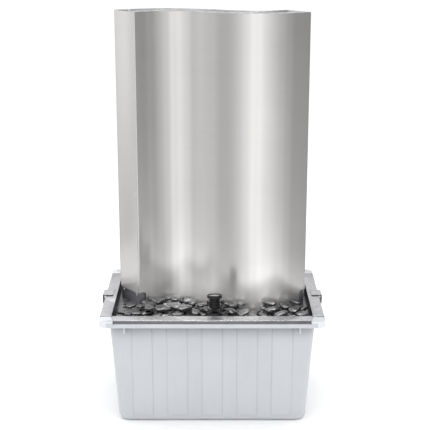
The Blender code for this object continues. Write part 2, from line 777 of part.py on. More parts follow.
def build_suction_feet(material):
    """Four rubber cups that hold the pump on the tub's floor."""
    profile = [(0.0075, TUB_WALL + GAP), (0.0080, TUB_WALL + 0.0012), (0.0038, TUB_WALL + 0.0045),
               (0.0034, PUMP_BOTTOM - GAP)]
    for side_x, side_name in ((-1, "left"), (1, "right")):
        for side_y, end_name in ((-1, "front"), (1, "rear")):
            x = PUMP_CENTRE[0] + side_x * KNOB_OUT
            y = PUMP_CENTRE[1] + side_y * SUCTION_FOOT_DEEP
            bm = bmesh.new()
            add_turned(bm, profile, 16, Matrix.Translation((x, y, 0)))
            link_object(f"suction_foot_{end_name}_{side_name}", bm, material, smooth=True)


def build_cable_gland(material):
    """The rubber gland where the pump's mains cable leaves its back."""
    across, height = CABLE_GLAND
    back = PUMP_CENTRE[1] + PUMP_SIZE[1] / 2 + GAP
    profile = [(0.0065, 0.0), (0.0065, 0.006), (0.0048, 0.0075), (0.0038, 0.024)]
    bm = bmesh.new()
    add_turned(bm, profile, 14, axis_frame((PUMP_CENTRE[0] + across, back, height), (0, 1, 0)))
    link_object("pump_cable_gland", bm, material, smooth=True)


def build_outlet(height, material):
    """Hose barb on the pump: a collar and a ribbed spigot with a through bore."""
    place = Matrix.Translation((*WALL_CENTRE, 0))
    radius = PIPE_RADIUS
    bore = 0.0055
    base = height + GAP
    profile = [(bore, base), (0.0125, base), (0.0125, base + 0.008), (radius - 0.0003, base + 0.0085)]
    for i in range(4):
        start = base + 0.012 + i * 0.005
        profile += [(radius - 0.0003, start), (radius - 0.0012, start + 0.0035)]
    profile += [(bore, base + 0.034)]
    bm = bmesh.new()
    add_turned(bm, profile, 16, place, ring=True)
    link_object("pump_outlet", bm, material, smooth=True)


def build_impeller(chamber, materials):
    """Six curved blades on a hub, bored for the ceramic shaft."""
    bm = bmesh.new()
    profile = [(0.0020, 0.0145), (0.0055, 0.0145), (0.0055, 0.0270), (0.0140, 0.0275), (0.0140, 0.0290),
               (0.0020, 0.0290)]
    add_turned(bm, profile, 18, chamber, ring=True)
    impeller = link_object("pump_impeller", bm, materials["grey_plastic"], smooth=True)
    bm = bmesh.new()
    for i in range(6):
        turn = Matrix.Rotation(2 * math.pi * i / 6, 4, "Z")
        add_box(bm, (0.0045, -0.0007, 0.0165), (0.0138, 0.0007, 0.0280), chamber @ turn)
    boolean(impeller, "join_blades", bm, "UNION")
    bm = bmesh.new()
    add_cylinder(bm, 0.0015, 0.0120, 0.0375, 10, chamber)
    link_object("impeller_shaft", bm, materials["ceramic"], smooth=True)


def build_pump_cover(front, material):
    """The strainer: a hollow cap over the pump's face with upright slots."""
    cx = PUMP_CENTRE[0]
    half = PUMP_SIZE[0] / 2
    low, high = PUMP_BOTTOM, PUMP_BOTTOM + PUMP_SIZE[2]
    depth = 0.020
    wall = 0.0020
    outline = rounded_outline((half, (high - low) / 2), 0.008, 3)
    middle = (low + high) / 2
    bm = bmesh.new()
    loft(bm, [[(cx + x, y, middle + z) for x, z in outline] for y in (front - depth, front - GAP)])
    cover = link_object("pump_cover", bm, material)
    outline = rounded_outline((half - wall, (high - low) / 2 - wall), 0.006, 3)
    bm = bmesh.new()
    rings = [[(cx + x, y, middle + z) for x, z in outline] for y in (front - depth + wall, front + 0.01)]
    loft(bm, rings)
    boolean(cover, "cut_cover_inside", bm)
    bm = bmesh.new()
    for i in range(7):
        x = cx + (i - 3) * 0.0085
        add_box(bm, (x - 0.0018, front - depth - 0.01, middle - 0.019),
                (x + 0.0018, front - depth + 0.01, middle + 0.019))
    boolean(cover, "cut_cover_slots", bm)


def build_flow_knob(x, y, height, material):
    """Ribbed flow control with a stem in the pump body."""
    place = Matrix.Translation((x, y, 0))
    bm = bmesh.new()
    outline = []
    for i in range(32):
        radius = 0.0072 if i % 2 else 0.0066
        angle = 2 * math.pi * i / 32
        outline.append((radius * math.cos(angle), radius * math.sin(angle)))
    rings = [[place @ Vector((0.0030 / 0.0070 * px, 0.0030 / 0.0070 * py, z)) for px, py in outline]
             for z in (height - 0.005, height + 0.0012)]
    rings += [[place @ Vector((px, py, z)) for px, py in outline] for z in (height + 0.0013, height + 0.008)]
    loft(bm, rings)
    knob = link_object("pump_flow_knob", bm, material)
    bm = bmesh.new()
    add_box(bm, (-0.0008, -0.0055, height + 0.0070), (0.0008, 0.0002, height + 0.01), place)
    boolean(knob, "cut_knob_mark", bm)


# ---------------------------------------------------------------- spotlight

def build_lamp(materials):
    black = materials["black_metal"]
    build_lamp_base(black)
    build_lamp_yoke(black)
    build_lamp_head(materials)
    build_lamp_pivots(black)


def build_lamp_base(material):
    place = Matrix.Translation((*LAMP, 0))
    low = FLOOR_TOP + GAP
    profile = [(0.0190, low), (0.0195, low + 0.002), (0.0195, 0.3060), (0.0185, 0.3078), (0.0110, 0.3090),
               (0.0060, 0.3110), (0.0060, 0.3125)]
    bm = bmesh.new()
    add_turned(bm, profile, 28, place)
    base = link_object("lamp_base", bm, material, smooth=True)
    bm = bmesh.new()
    add_cylinder(bm, 0.0028, 0.295, 0.33, 12, place)
    boolean(base, "cut_swivel_seat", bm)


def build_lamp_yoke(material):
    """U bracket with a swivel stem, its arms bored for the pivots."""
    path = [(-0.0190, LAMP_PIVOT_Z + 0.006), (-0.0190, 0.3130), (0.0190, 0.3130),
            (0.0190, LAMP_PIVOT_Z + 0.006)]
    section = folded_section(path, 0.0020)
    place = Matrix.Translation((*LAMP, 0))
    bm = bmesh.new()
    loft(bm, [[place @ Vector((x, y, z)) for x, z in section] for y in (-0.006, 0.006)])
    yoke = link_object("lamp_yoke", bm, material)
    bm = bmesh.new()
    add_cylinder(bm, 0.0025, 0.298, 0.3140, 12, place)
    boolean(yoke, "join_swivel_stem", bm, "UNION")
    bm = bmesh.new()
    add_cylinder(bm, LAMP_PIVOT_BORE, -0.03, 0.03, 12, tilt_axis())
    boolean(yoke, "cut_pivot_holes", bm)


def tilt_axis():
    return axis_frame((*LAMP, LAMP_PIVOT_Z), (1, 0, 0))


def head_frame():
    """Frame of the lamp head: origin on the tilt axis, Z along the beam, leaning to the wall."""
    return Matrix.Translation((*LAMP, LAMP_PIVOT_Z)) @ Matrix.Rotation(-LAMP_LEAN, 4, "X")


def build_lamp_head(materials):
    frame = head_frame()
    profile = [(0.0070, -0.0180), (0.0095, -0.0172), (0.0120, -0.0145)]
    for i in range(4):
        start = -0.0130 + 0.0062 * i
        profile += [(0.0145, start), (0.0145, start + 0.0035), (0.0126, start + 0.0040),
                    (0.0126, start + 0.0057)]
    profile += [(0.0145, 0.0118), (0.0145, 0.0125)]
    bm = bmesh.new()
    add_turned(bm, profile, 24, frame)
    head = link_object("lamp_head", bm, materials["black_metal"], smooth=True)
    bm = bmesh.new()
    add_cylinder(bm, LAMP_PIVOT_BORE, -0.03, 0.03, 12, tilt_axis())
    boolean(head, "cut_head_pivot", bm)
    build_lens(frame, materials)


def build_lens(frame, materials):
    """The bezel, the glass it holds and the light board behind it."""
    bezel = [(0.0134, 0.0128), (0.0192, 0.0128), (0.0203, 0.0142), (0.0203, 0.0200), (0.0195, 0.0210),
             (0.0155, 0.0210), (0.0152, 0.0205), (0.0152, 0.0192), (0.0168, 0.0192), (0.0168, 0.0148),
             (0.0134, 0.0148)]
    bm = bmesh.new()
    add_turned(bm, bezel, 28, frame, ring=True)
    link_object("lamp_bezel", bm, materials["black_metal"], smooth=True)
    bm = bmesh.new()
    add_turned(bm, [(0.0165, 0.0151), (0.0165, 0.0186), (0.0150, 0.0189)], 28, frame)
    link_object("lamp_glass", bm, materials["glass"], smooth=True)
    bm = bmesh.new()
    add_cylinder(bm, 0.0130, 0.0128, 0.0143, 20, frame)
    link_object("led_board", bm, materials["board"])


def build_lamp_pivots(material):
    """The tilt pivot: a pin through arms and head, with a ribbed locking knob on its right end."""
    axis = tilt_axis()
    pin_head = [(0.0035, -0.0213), (0.0042, -0.0205), (0.0042, -0.0193)]
    bm = bmesh.new()
    add_turned(bm, pin_head + [(0.0020, -0.0193), (0.0020, 0.0235)], 12, axis)
    link_object("lamp_pivot_pin", bm, material, smooth=True)
    outline = [(0.0055 if i % 2 else 0.0049, 2 * math.pi * i / 24) for i in range(24)]

    def lobed(scale, height):
        points = [(scale * r * math.cos(a), scale * r * math.sin(a), height) for r, a in outline]
        return [axis @ Vector(point) for point in points]

    bm = bmesh.new()
    loft(bm, [lobed(1.0, 0.0193), lobed(1.0, 0.0255), lobed(0.8, 0.0265)])
    knob = link_object("lamp_lock_knob", bm, material)
    bm = bmesh.new()
    add_cylinder(bm, LAMP_PIVOT_BORE, 0.0150, 0.0240, 12, axis)
    boolean(knob, "cut_knob_thread", bm)


# The lead's route by hand: out of the base, over the pebbles, through a floor slot, down to the pump.
LEAD_ROUTE = [
    (0.0392, -0.1550, 0.3093),
    (0.0418, -0.1551, 0.3129),
    (0.0456, -0.1553, 0.3160),
    (0.0502, -0.1556, 0.3169),
    (0.0546, -0.1561, 0.3148),
    (0.0579, -0.1568, 0.3100),
    (0.0597, -0.1578, 0.3030),
    (0.0606, -0.1592, 0.2920),
    (0.0610, -0.1603, 0.2780),
    (0.0611, -0.1607, 0.2650),
    (0.0610, -0.1605, 0.2300),
    (0.0605, -0.1590, 0.1700),
    (0.0600, -0.1540, 0.1000),
    (0.0615, -0.1450, 0.0480),
    (0.0670, -0.1300, 0.0160),
    (0.0740, -0.1080, 0.0060),
    (0.0800, -0.0800, 0.0047),
    (0.0840, -0.0500, 0.0047),
    (0.0845, -0.0220, 0.0056),
    (0.0825, -0.0010, 0.0120),
    (0.0790, 0.0150, 0.0230),
    (0.0745, 0.0250, 0.0320),
    (0.0680, 0.0290, 0.0358),
    (0.0622, 0.0300, 0.0360),
]

# The gland's bend in the X-Z plane, out from the lamp's axis, with its radius at each place.
GLAND_RINGS = [(0.0201, 0.2980, 0.0045), (0.0228, 0.2980, 0.0045), (0.0232, 0.2981, 0.0037),
               (0.0258, 0.2993, 0.0034), (0.0282, 0.3018, 0.0031), (0.0304, 0.3053, 0.0027),
               (0.0325, 0.3090, 0.0024)]


def build_gland(material):
    """The bent strain relief on the right of the lamp's base."""
    points = [Vector((LAMP[0] + x, LAMP[1], z)) for x, z, _ in GLAND_RINGS]
    rings = []
    for i, (point, (_, _, radius)) in enumerate(zip(points, GLAND_RINGS)):
        ahead = points[min(i + 1, len(points) - 1)]
        direction = ahead - points[max(i - 1, 0)] if i > 2 else Vector((1, 0, 0))
        frame = axis_frame(point, direction)
        rings.append([frame @ Vector((x, y, 0)) for x, y in circle(radius, 12)])
    bm = bmesh.new()
    loft(bm, rings)
    link_object("lamp_gland", bm, material, smooth=True)


def build_lead(materials):
    """The spotlight's low-voltage lead, and its plug in the pump's lamp socket."""
    build_gland(materials["rubber"])
    build_lead_curve(materials["rubber"])
    build_plug(materials)


def build_lead_curve(material):
    path = smooth_path(LEAD_ROUTE, 0.012)
    curve = bpy.data.curves.new("lamp_lead", "CURVE")
    curve.dimensions = "3D"
    curve.bevel_depth = LEAD_RADIUS
    curve.bevel_resolution = 2
    curve.render_resolution_u = 0
    curve.use_fill_caps = True
    spline = curve.splines.new("POLY")
    spline.points.add(len(path) - 1)
    for point, position in zip(spline.points, path):
        point.co = (*position, 1.0)
    lead = bpy.data.objects.new("lamp_lead", curve)
    curve.materials.append(material)
    bpy.context.scene.collection.objects.link(lead)


def build_plug(materials):
    """The socket on the pump's right side and the lead's plug in it."""
    plug_x = PUMP_CENTRE[0] + PUMP_SIZE[0] / 2 + GAP
    axis = axis_frame((plug_x, *LAMP_SOCKET), (1, 0, 0))
    bm = bmesh.new()
    add_turned(bm, [(0.0075, 0.0), (0.0075, 0.0055), (0.0066, 0.0060)], 16, axis)
    link_object("lamp_socket", bm, materials["black_plastic"], smooth=True)
    end = LEAD_ROUTE[-1][0] - plug_x - GAP
    bm = bmesh.new()
    add_turned(bm, [(0.0060, 0.0063), (0.0060, 0.0160), (0.0045, 0.0175), (0.0028, end)], 14, axis)
    link_object("lamp_plug", bm, materials["rubber"], smooth=True)


# ---------------------------------------------------------------- pebbles

def clip_outline(outline, x_low, x_high):
    """Cut a polygon to a band of x."""
    for limit, keep_above in ((x_low, True), (x_high, False)):
        kept = []
        for (ax, ay), (bx, by) in zip(outline, outline[1:] + outline[:1]):
            inside_a = ax >= limit if keep_above else ax <= limit
            inside_b = bx >= limit if keep_above else bx <= limit
            if inside_a:
                kept.append((ax, ay))
            if inside_a != inside_b:
                share = (limit - ax) / (bx - ax)
                kept.append((limit, ay + share * (by - ay)))
        outline = kept
    return outline


def wall_outline(side, clear):
    """The wall's front (side -1) or back line in plan, left to right, at a clearance."""
    offset = side * (WALL_THICK / 2 + clear)
    stations = wall_stations(-clear, WALL_LENGTH + clear, ARC_STEPS)
    return [wall_point(distance, offset) for distance in stations]


def build_pebble_beds(material):
    """The pebbles as four closed beds between the tray's walls and the wall's faces."""
    clear = 0.0015
    edge_x = TRAY_HALF[0] - clear
    edge_y = TRAY_HALF[1] - clear
    front_line = wall_outline(-1, clear)
    back_line = wall_outline(1, clear)
    left_tip = (-edge_x, back_line[0][1])
    right_tip = (edge_x, front_line[-1][1])
    front = [(-edge_x, -edge_y), (edge_x, -edge_y), right_tip] + front_line[::-1] + [left_tip]
    rear = [(edge_x, edge_y), (-edge_x, edge_y), (-edge_x, back_line[0][1] + 0.004)] + back_line
    rear += [(edge_x, front_line[-1][1] + 0.004)]
    bands = (("front_left", front, -edge_x, LAMP[0] - 0.030),
             ("front_right", front, LAMP[0] + 0.066, edge_x),
             ("rear_left", rear, -edge_x, -GAP),
             ("rear_right", rear, GAP, edge_x))
    for name, outline, low, high in bands:
        bm = bmesh.new()
        add_prism(bm, clip_outline(outline, low, high), FLOOR_TOP + GAP, PEBBLE_TOP)
        bmesh.ops.remove_doubles(bm, verts=bm.verts, dist=0.0001)
        link_object("pebbles_" + name, bm, material)


# ---------------------------------------------------------------- assembly

def build_materials():
    return {
        "tub_plastic": make_material("tub_plastic", (0.78, 0.80, 0.82), 0.35),
        "steel": make_material("brushed_steel", (0.62, 0.61, 0.60), 0.32, 1.0),
        "rail_steel": make_material("rail_steel", (0.60, 0.59, 0.58), 0.38, 1.0),
        "dark_coat": make_material("dark_coating", (0.075, 0.075, 0.082), 0.55),
        "bright_screw": make_material("screw_steel", (0.75, 0.75, 0.75), 0.22, 1.0),
        "black_metal": make_material("lamp_black", (0.018, 0.018, 0.019), 0.45),
        "black_plastic": make_material("pump_black", (0.022, 0.022, 0.024), 0.50),
        "grey_plastic": make_material("grey_plastic", (0.30, 0.31, 0.33), 0.45),
        "ceramic": make_material("ceramic", (0.85, 0.84, 0.80), 0.25),
        "rubber": make_material("rubber", (0.015, 0.015, 0.015), 0.65),
        "glass": make_material("lamp_glass", (0.88, 0.90, 0.92), 0.10),
        "board": make_material("led_board", (0.80, 0.80, 0.74), 0.40),
        "hose": make_material("hose", (0.20, 0.22, 0.22), 0.30),
        "stone": make_material("pebble_stone", (0.055, 0.055, 0.060), 0.28),
    }


def build_wall(materials):
    steel = materials["steel"]
    build_skin("wall_front_skin", -1, steel)
    build_skin("wall_back_skin", 1, steel)
    for side, side_name in ((-1, "left"), (1, "right")):
        build_wall_end(f"wall_{side_name}_end", side, steel)
        build_foot(f"wall_{side_name}_foot", side, materials["dark_coat"])
        build_wall_bolt(f"wall_{side_name}_bolt", side, materials["bright_screw"])
        for across, place in ((-FOOT_SCREW_OUT, "a"), (FOOT_SCREW_OUT, "b")):
            build_foot_screw(f"{side_name}_foot_screw_{place}", side, across, materials["bright_screw"])
    build_trough(steel)
    build_diffuser(steel)
    for height, level in zip(RIB_HEIGHTS, ("lower", "middle", "upper")):
        build_rib(f"wall_rib_{level}", height, steel)


def build_tray(materials):
    rail_steel = materials["rail_steel"]
    build_long_rail("front_rail", -1, rail_steel)
    build_long_rail("rear_rail", 1, rail_steel)
    build_floor(materials["steel"])
    for side, side_name in ((-1, "left"), (1, "right")):
        build_side_rail(f"{side_name}_rail", side, rail_steel)
        build_cross_beam(f"{side_name}_cross_beam", side, materials["steel"])
        build_rim_clip(f"{side_name}_rim_clip", side, rail_steel)


def main():
    clear_scene()
    materials = build_materials()
    build_tub(materials["tub_plastic"])
    build_tray(materials)
    build_wall(materials)
    stub_end = build_spreader(materials["steel"])
    build_hose(materials["hose"], stub_end)
    build_hose_clamp("hose_clamp_lower", PUMP_BOTTOM + PUMP_SIZE[2] + 0.022, materials["bright_screw"])
    build_hose_clamp("hose_clamp_upper", stub_end + 0.010, materials["bright_screw"])
    build_pump(materials)
    build_lamp(materials)
    build_lead(materials)
    build_pebble_beds(materials["stone"])


main()
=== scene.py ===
"""Looks of the S-shaped water wall fountain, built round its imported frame."""
import math
import random

import bmesh
import bpy
import numpy as np
from mathutils import Matrix, Vector, noise


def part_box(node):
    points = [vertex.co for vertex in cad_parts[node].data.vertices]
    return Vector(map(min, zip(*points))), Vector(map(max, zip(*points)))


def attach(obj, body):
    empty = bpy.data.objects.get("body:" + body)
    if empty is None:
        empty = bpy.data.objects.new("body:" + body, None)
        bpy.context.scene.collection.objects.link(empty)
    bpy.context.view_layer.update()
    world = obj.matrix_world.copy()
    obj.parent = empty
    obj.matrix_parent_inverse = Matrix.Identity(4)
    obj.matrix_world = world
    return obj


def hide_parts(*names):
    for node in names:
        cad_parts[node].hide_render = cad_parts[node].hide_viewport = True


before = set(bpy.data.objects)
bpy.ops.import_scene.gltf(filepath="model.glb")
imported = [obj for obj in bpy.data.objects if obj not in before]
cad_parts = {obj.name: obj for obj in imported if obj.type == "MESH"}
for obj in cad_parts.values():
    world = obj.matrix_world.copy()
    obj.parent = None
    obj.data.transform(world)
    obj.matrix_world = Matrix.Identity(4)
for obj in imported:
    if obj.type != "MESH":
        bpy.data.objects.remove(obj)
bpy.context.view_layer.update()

# ---- what is read from the frame

ROOT = "fountain"
RIM_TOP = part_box("tub")[1].z
FLOOR_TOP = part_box("tray_floor")[1].z
TRAY_HALF = (-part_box("left_rail")[1].x, -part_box("front_rail")[1].y)
LAMP_BASE_LOW, LAMP_BASE_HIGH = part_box("lamp_base")
LAMP = Vector(((LAMP_BASE_LOW.x + LAMP_BASE_HIGH.x) / 2, (LAMP_BASE_LOW.y + LAMP_BASE_HIGH.y) / 2, 0))

# The wall's plan, as the frame's steel is bent: two tangent arcs, left one bulging back, right one forward.
WALL_SWEEP = math.radians(39.0)
WALL_THICK = 0.096
WALL_HALF_CHORD = 0.2345
WALL_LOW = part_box("wall_front_skin")[0]
WALL_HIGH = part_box("wall_back_skin")[1]
WALL_CENTRE = ((WALL_LOW.x + WALL_HIGH.x) / 2, (WALL_LOW.y + WALL_HIGH.y) / 2)
ARC_RADIUS = WALL_HALF_CHORD / 2 / math.sin(WALL_SWEEP)
WALL_LENGTH = 4 * ARC_RADIUS * WALL_SWEEP
SHEET = 0.0012


# ---- mesh helpers

def add_object(name, data):
    item = bpy.data.objects.new(name, data)
    bpy.context.scene.collection.objects.link(item)
    return item


def plain_object(name, bm):
    """An object in the scene made from a bmesh, which is used up."""
    mesh = bpy.data.meshes.new(name)
    bm.to_mesh(mesh)
    bm.free()
    return add_object(name, mesh)


def link_mesh(name, bm, smooth=35.0):
    """The same with its faces turned outwards and only edges sharper than an angle left hard."""
    bmesh.ops.recalc_face_normals(bm, faces=bm.faces)
    item = plain_object(name, bm)
    soften(item, smooth)
    return item


def soften(item, smooth):
    item.data.shade_smooth()
    item.data.set_sharp_from_angle(angle=math.radians(smooth))


def apply_modifiers(item):
    """Replace an object's mesh with what its modifiers make of it."""
    graph = bpy.context.evaluated_depsgraph_get()
    mesh = bpy.data.meshes.new_from_object(item.evaluated_get(graph))
    item.modifiers.clear()
    item.data = mesh


def boolean(item, tool, operation="DIFFERENCE"):
    """Cut a bmesh out of an object, or join it on."""
    cutter = link_mesh(item.name + "_tool", tool)
    modifier = item.modifiers.new("cut", "BOOLEAN")
    modifier.operation = operation
    modifier.solver = "EXACT"
    modifier.object = cutter
    apply_modifiers(item)
    bpy.data.objects.remove(cutter, do_unlink=True)


def bridge(bm, ring_a, ring_b):
    count = len(ring_a)
    for i in range(count):
        j = (i + 1) % count
        bm.faces.new((ring_a[i], ring_a[j], ring_b[j], ring_b[i]))


def loft(bm, rings, closed=False):
    """Skin over rings of points, capped at both ends or closed on itself."""
    vert_rings = [[bm.verts.new(point) for point in ring] for ring in rings]
    for lower, upper in zip(vert_rings, vert_rings[1:]):
        bridge(bm, lower, upper)
    if closed:
        bridge(bm, vert_rings[-1], vert_rings[0])
    else:
        bm.faces.new(vert_rings[0])
        bm.faces.new(vert_rings[-1])


def circle(radius, count):
    turns = [2 * math.pi * i / count for i in range(count)]
    return [(radius * math.cos(a), radius * math.sin(a)) for a in turns]


def prism(outline, levels, matrix, closed=False):
    """A bmesh along the matrix's Z: an outline at each (scale, height) level."""
    bm = bmesh.new()
    loft(bm, [[matrix @ Vector((x * scale, y * scale, height)) for x, y in outline]
              for scale, height in levels], closed)
    return bm


def turned(profile, sides, matrix, ring=False):
    """A bmesh turned about the matrix's Z from (radius, height) points."""
    return prism(circle(1.0, sides), profile, matrix, ring)


def bore(radius, low, high, matrix):
    """Cutter for a round hole."""
    return turned([(radius, low), (radius, high)], 24, matrix)


def quarter_round(steps):
    """A rounded corner of radius 1: how far each point lies inside the corner's two sides."""
    turns = [math.pi / 2 * i / steps for i in range(steps + 1)]
    return [(1 - math.cos(t), 1 - math.sin(t)) for t in turns]


def add_box(bm, low, high, matrix):
    """Add a box to a bmesh, and hand the bmesh back."""
    corners = [(low[0], low[1]), (high[0], low[1]), (high[0], high[1]), (low[0], high[1])]
    loft(bm, [[matrix @ Vector((x, y, z)) for x, y in corners] for z in (low[2], high[2])])
    return bm


def axis_frame(origin, direction):
    rotation = Vector((0, 0, 1)).rotation_difference(Vector(direction)).to_matrix().to_4x4()
    return Matrix.Translation(origin) @ rotation


def grain_layer(mesh):
    return mesh.uv_layers[0] if mesh.uv_layers else mesh.uv_layers.new(name="grain")


def grain_uv(item, grain):
    """UVs in metres whose U runs along the metal's grain."""
    mesh = item.data
    layer = grain_layer(mesh)
    along = Vector(grain).normalized()
    spare = Vector((0, 0, 1)) if abs(along.z) < 0.9 else Vector((1, 0, 0))
    for face in mesh.polygons:
        normal = face.normal
        axis = along if abs(normal.dot(along)) < 0.9 else spare
        u_axis = (axis - normal * axis.dot(normal)).normalized()
        v_axis = normal.cross(u_axis)
        for loop in face.loop_indices:
            point = mesh.vertices[mesh.loops[loop].vertex_index].co
            layer.data[loop].uv = (point.dot(u_axis), point.dot(v_axis))


def refine(node, material, grain=(1, 0, 0), bevel=0.0004, smooth=35.0, body=ROOT, edge=40.0):
    """A rounded-edge copy of a rigid CAD node, which it replaces."""
    bm = bmesh.new()
    bm.from_mesh(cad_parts[node].data)
    bmesh.ops.remove_doubles(bm, verts=bm.verts, dist=0.00002)
    bmesh.ops.dissolve_limit(bm, angle_limit=math.radians(0.6), verts=bm.verts, edges=bm.edges)
    item = make_piece(node, material, bm, smooth, body)
    if bevel:
        bevel_edges(item, bevel, edge, smooth)
    grain_uv(item, grain)
    return item


def bevel_edges(item, width, edge=40.0, smooth=35.0):
    modifier = item.modifiers.new("edges", "BEVEL")
    modifier.width = width
    modifier.segments = 2
    modifier.limit_method = "ANGLE"
    modifier.angle_limit = math.radians(edge)
    apply_modifiers(item)
    soften(item, smooth)


def dress(item, material, node, body=ROOT):
    """Give a piece its material, hide the CAD node it stands in for, and hang it on the body it rides on."""
    item.data.materials.clear()
    item.data.materials.append(MATERIALS[material])
    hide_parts(node)
    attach(item, body)


def make_piece(node, material, bm, smooth=35.0, body=ROOT, cut=None):
    """A piece made from a bmesh, less a second one where given, that replaces a CAD node."""
    item = link_mesh(node + "_finished", bm, smooth)
    if cut:
        boolean(item, cut)
        soften(item, smooth)
    dress(item, material, node, body)
    return item


def repaint(item, material, chosen):
    """Give the faces that pass a test one more material."""
    item.data.materials.append(MATERIALS[material])
    for face in item.data.polygons:
        if chosen(face):
            face.material_index = len(item.data.materials) - 1


# ---- the wall's plan

def wall_point(distance, offset):
    """The plan point at a distance along the S from its left end and an offset (+ back, - front)."""
    half = WALL_LENGTH / 2
    side = 1 if distance <= half else -1
    angle = (distance if side > 0 else distance - half) / ARC_RADIUS - WALL_SWEEP
    radius = ARC_RADIUS + side * offset
    x = -side * WALL_HALF_CHORD / 2 + radius * math.sin(angle)
    y = side * (radius * math.cos(angle) - ARC_RADIUS * math.cos(WALL_SWEEP))
    return x + WALL_CENTRE[0], y + WALL_CENTRE[1]


def wall_place(x, y):
    """The other way round: the distance and offset of plan points."""
    dx = x - WALL_CENTRE[0]
    dy = y - WALL_CENTRE[1]
    lift = ARC_RADIUS * math.cos(WALL_SWEEP)
    first = dx * math.cos(WALL_SWEEP) - dy * math.sin(WALL_SWEEP) < 0
    side = np.where(first, 1, -1)
    across = dx + side * WALL_HALF_CHORD / 2
    reach = lift + side * dy
    angle = np.arctan2(across, reach)
    distance = (angle + WALL_SWEEP) * ARC_RADIUS + np.where(first, 0.0, WALL_LENGTH / 2)
    return distance, side * (np.hypot(across, reach) - ARC_RADIUS)


def end_frame(side):
    """Frame of an end of the wall: X into the wall, Y across its thickness, Z up."""
    distance = 0.0 if side < 0 else WALL_LENGTH
    front = Vector(wall_point(distance, -WALL_THICK / 2))
    back = Vector(wall_point(distance, WALL_THICK / 2))
    across = (back - front).normalized() * (-side)
    inward = Vector((across.y, -across.x))
    middle = (front + back) / 2
    rotation = Matrix(((inward.x, across.x, 0), (inward.y, across.y, 0), (0, 0, 1))).to_4x4()
    return Matrix.Translation((middle.x, middle.y, 0)) @ rotation


# Painted reflection: how much lighter or darker the sheet's colour is painted at each share of its length,
# as bands of reflected light.
PAINTED_REFLECTION_BANDS = [(0.00, 1.00), (0.10, 0.90), (0.15, 0.68), (0.20, 0.61), (0.24, 0.68), (0.29, 1.02),
           (0.34, 1.29), (0.39, 1.20), (0.44, 0.98), (0.50, 1.00), (0.56, 0.94), (0.61, 0.76),
           (0.65, 0.71), (0.68, 0.75), (0.71, 0.86), (0.745, 1.10), (0.78, 1.38), (0.82, 1.50),
           (0.86, 1.43), (0.89, 1.20), (0.92, 1.00), (1.00, 0.96)]


def between(table, place):
    """Values of a table of (place, value, ...) rows at a place, eased from row to row."""
    place = max(table[0][0], min(table[-1][0], place))
    start, end = next(pair for pair in zip(table, table[1:]) if place <= pair[1][0])
    t = (place - start[0]) / (end[0] - start[0])
    t = t * t * (3 - 2 * t)
    return [a + (b - a) * t for a, b in zip(start[1:], end[1:])]


def set_painted_reflection(skin):
    # painted reflection: each point takes the band's lightness at its place along the S
    band_light = skin.data.attributes.new("painted_reflection", "FLOAT", "POINT")
    for index, vert in enumerate(skin.data.vertices):
        distance, _ = wall_place(vert.co.x, vert.co.y)
        band_light.data[index].value = between(PAINTED_REFLECTION_BANDS, float(distance) / WALL_LENGTH)[0]


def wall_uv(item):
    """UVs in metres that follow the S and its folded ends: U along the plan, V up."""
    mesh = item.data
    layer = grain_layer(mesh)
    for loop in mesh.loops:
        point = mesh.vertices[loop.vertex_index].co
        distance, offset = (float(value) for value in wall_place(point.x, point.y))
        folded = WALL_THICK / 2 - abs(offset)
        along = distance - folded if distance < WALL_LENGTH / 2 else distance + folded
        layer.data[loop.index].uv = (along, point.z)


# ---- materials

WHITE = (1.0, 1.0, 1.0)
MATERIALS = {}


def fill(tree, node, inputs):
    """Set a node's sockets to values, or link them to other nodes' outputs."""
    for socket, value in inputs.items():
        if isinstance(value, bpy.types.NodeSocket):
            tree.links.new(value, node.inputs[socket])
        else:
            node.inputs[socket].default_value = value


def add_node(tree, kind, inputs=None):
    node = tree.nodes.new("ShaderNode" + kind)
    fill(tree, node, inputs or {})
    return node


def new_material(name, colour, roughness, inputs=None):
    """Start a material: its own sockets are set here, and the caller links its textures."""
    material = bpy.data.materials.new(name)
    material.use_nodes = True
    tree = material.node_tree
    shader = tree.nodes["Principled BSDF"]
    fill(tree, shader, {"Base Color": (*colour, 1.0), "Roughness": roughness, **(inputs or {})})
    MATERIALS[name] = material
    return tree, shader


def attribute(tree, name):
    """Outputs that read a mesh's own values."""
    node = add_node(tree, "Attribute")
    node.attribute_name = name
    return node.outputs


def noise_value(tree, scale, detail=3.0, roughness=0.55, stretch=(1.0, 1.0, 1.0), source="Object"):
    place = add_node(tree, "TexCoord").outputs[source]
    mapping = add_node(tree, "Mapping", {"Scale": stretch, "Vector": place})
    texture = add_node(tree, "TexNoise", {"Scale": scale, "Detail": detail, "Roughness": roughness,
                                          "Vector": mapping.outputs["Vector"]})
    return texture.outputs["Fac"]


def spread(tree, value, low, high):
    """Map the middle of a texture's range onto a range."""
    inputs = {"Value": value, "From Min": 0.3, "From Max": 0.7, "To Min": low, "To Max": high}
    return add_node(tree, "MapRange", inputs).outputs["Result"]


def tint(tree, value, dark, light, start=0.3, end=0.7):
    """Colour that runs from dark to light with a texture."""
    ramp = add_node(tree, "ValToRGB", {"Fac": value})
    for stop, position, colour in zip(ramp.color_ramp.elements, (start, end), (dark, light)):
        stop.position = position
        stop.color = (*colour, 1.0)
    return ramp.outputs["Color"]


def multiply(tree, colour_a, colour_b):
    mix = add_node(tree, "Mix")
    mix.data_type = "RGBA"
    mix.blend_type = "MULTIPLY"
    fill(tree, mix, {"Factor": 1.0, "A": colour_a, "B": colour_b})
    return mix.outputs["Result"]


def stain(tree, colour, value, dark, start=0.3, end=0.7):
    """Darken a colour where a texture is low."""
    return multiply(tree, colour, tint(tree, value, dark, WHITE, start, end))


def bump(tree, shader, height, strength, distance):
    node = add_node(tree, "Bump", {"Strength": strength, "Distance": distance, "Height": height})
    fill(tree, shader, {"Normal": node.outputs["Normal"]})


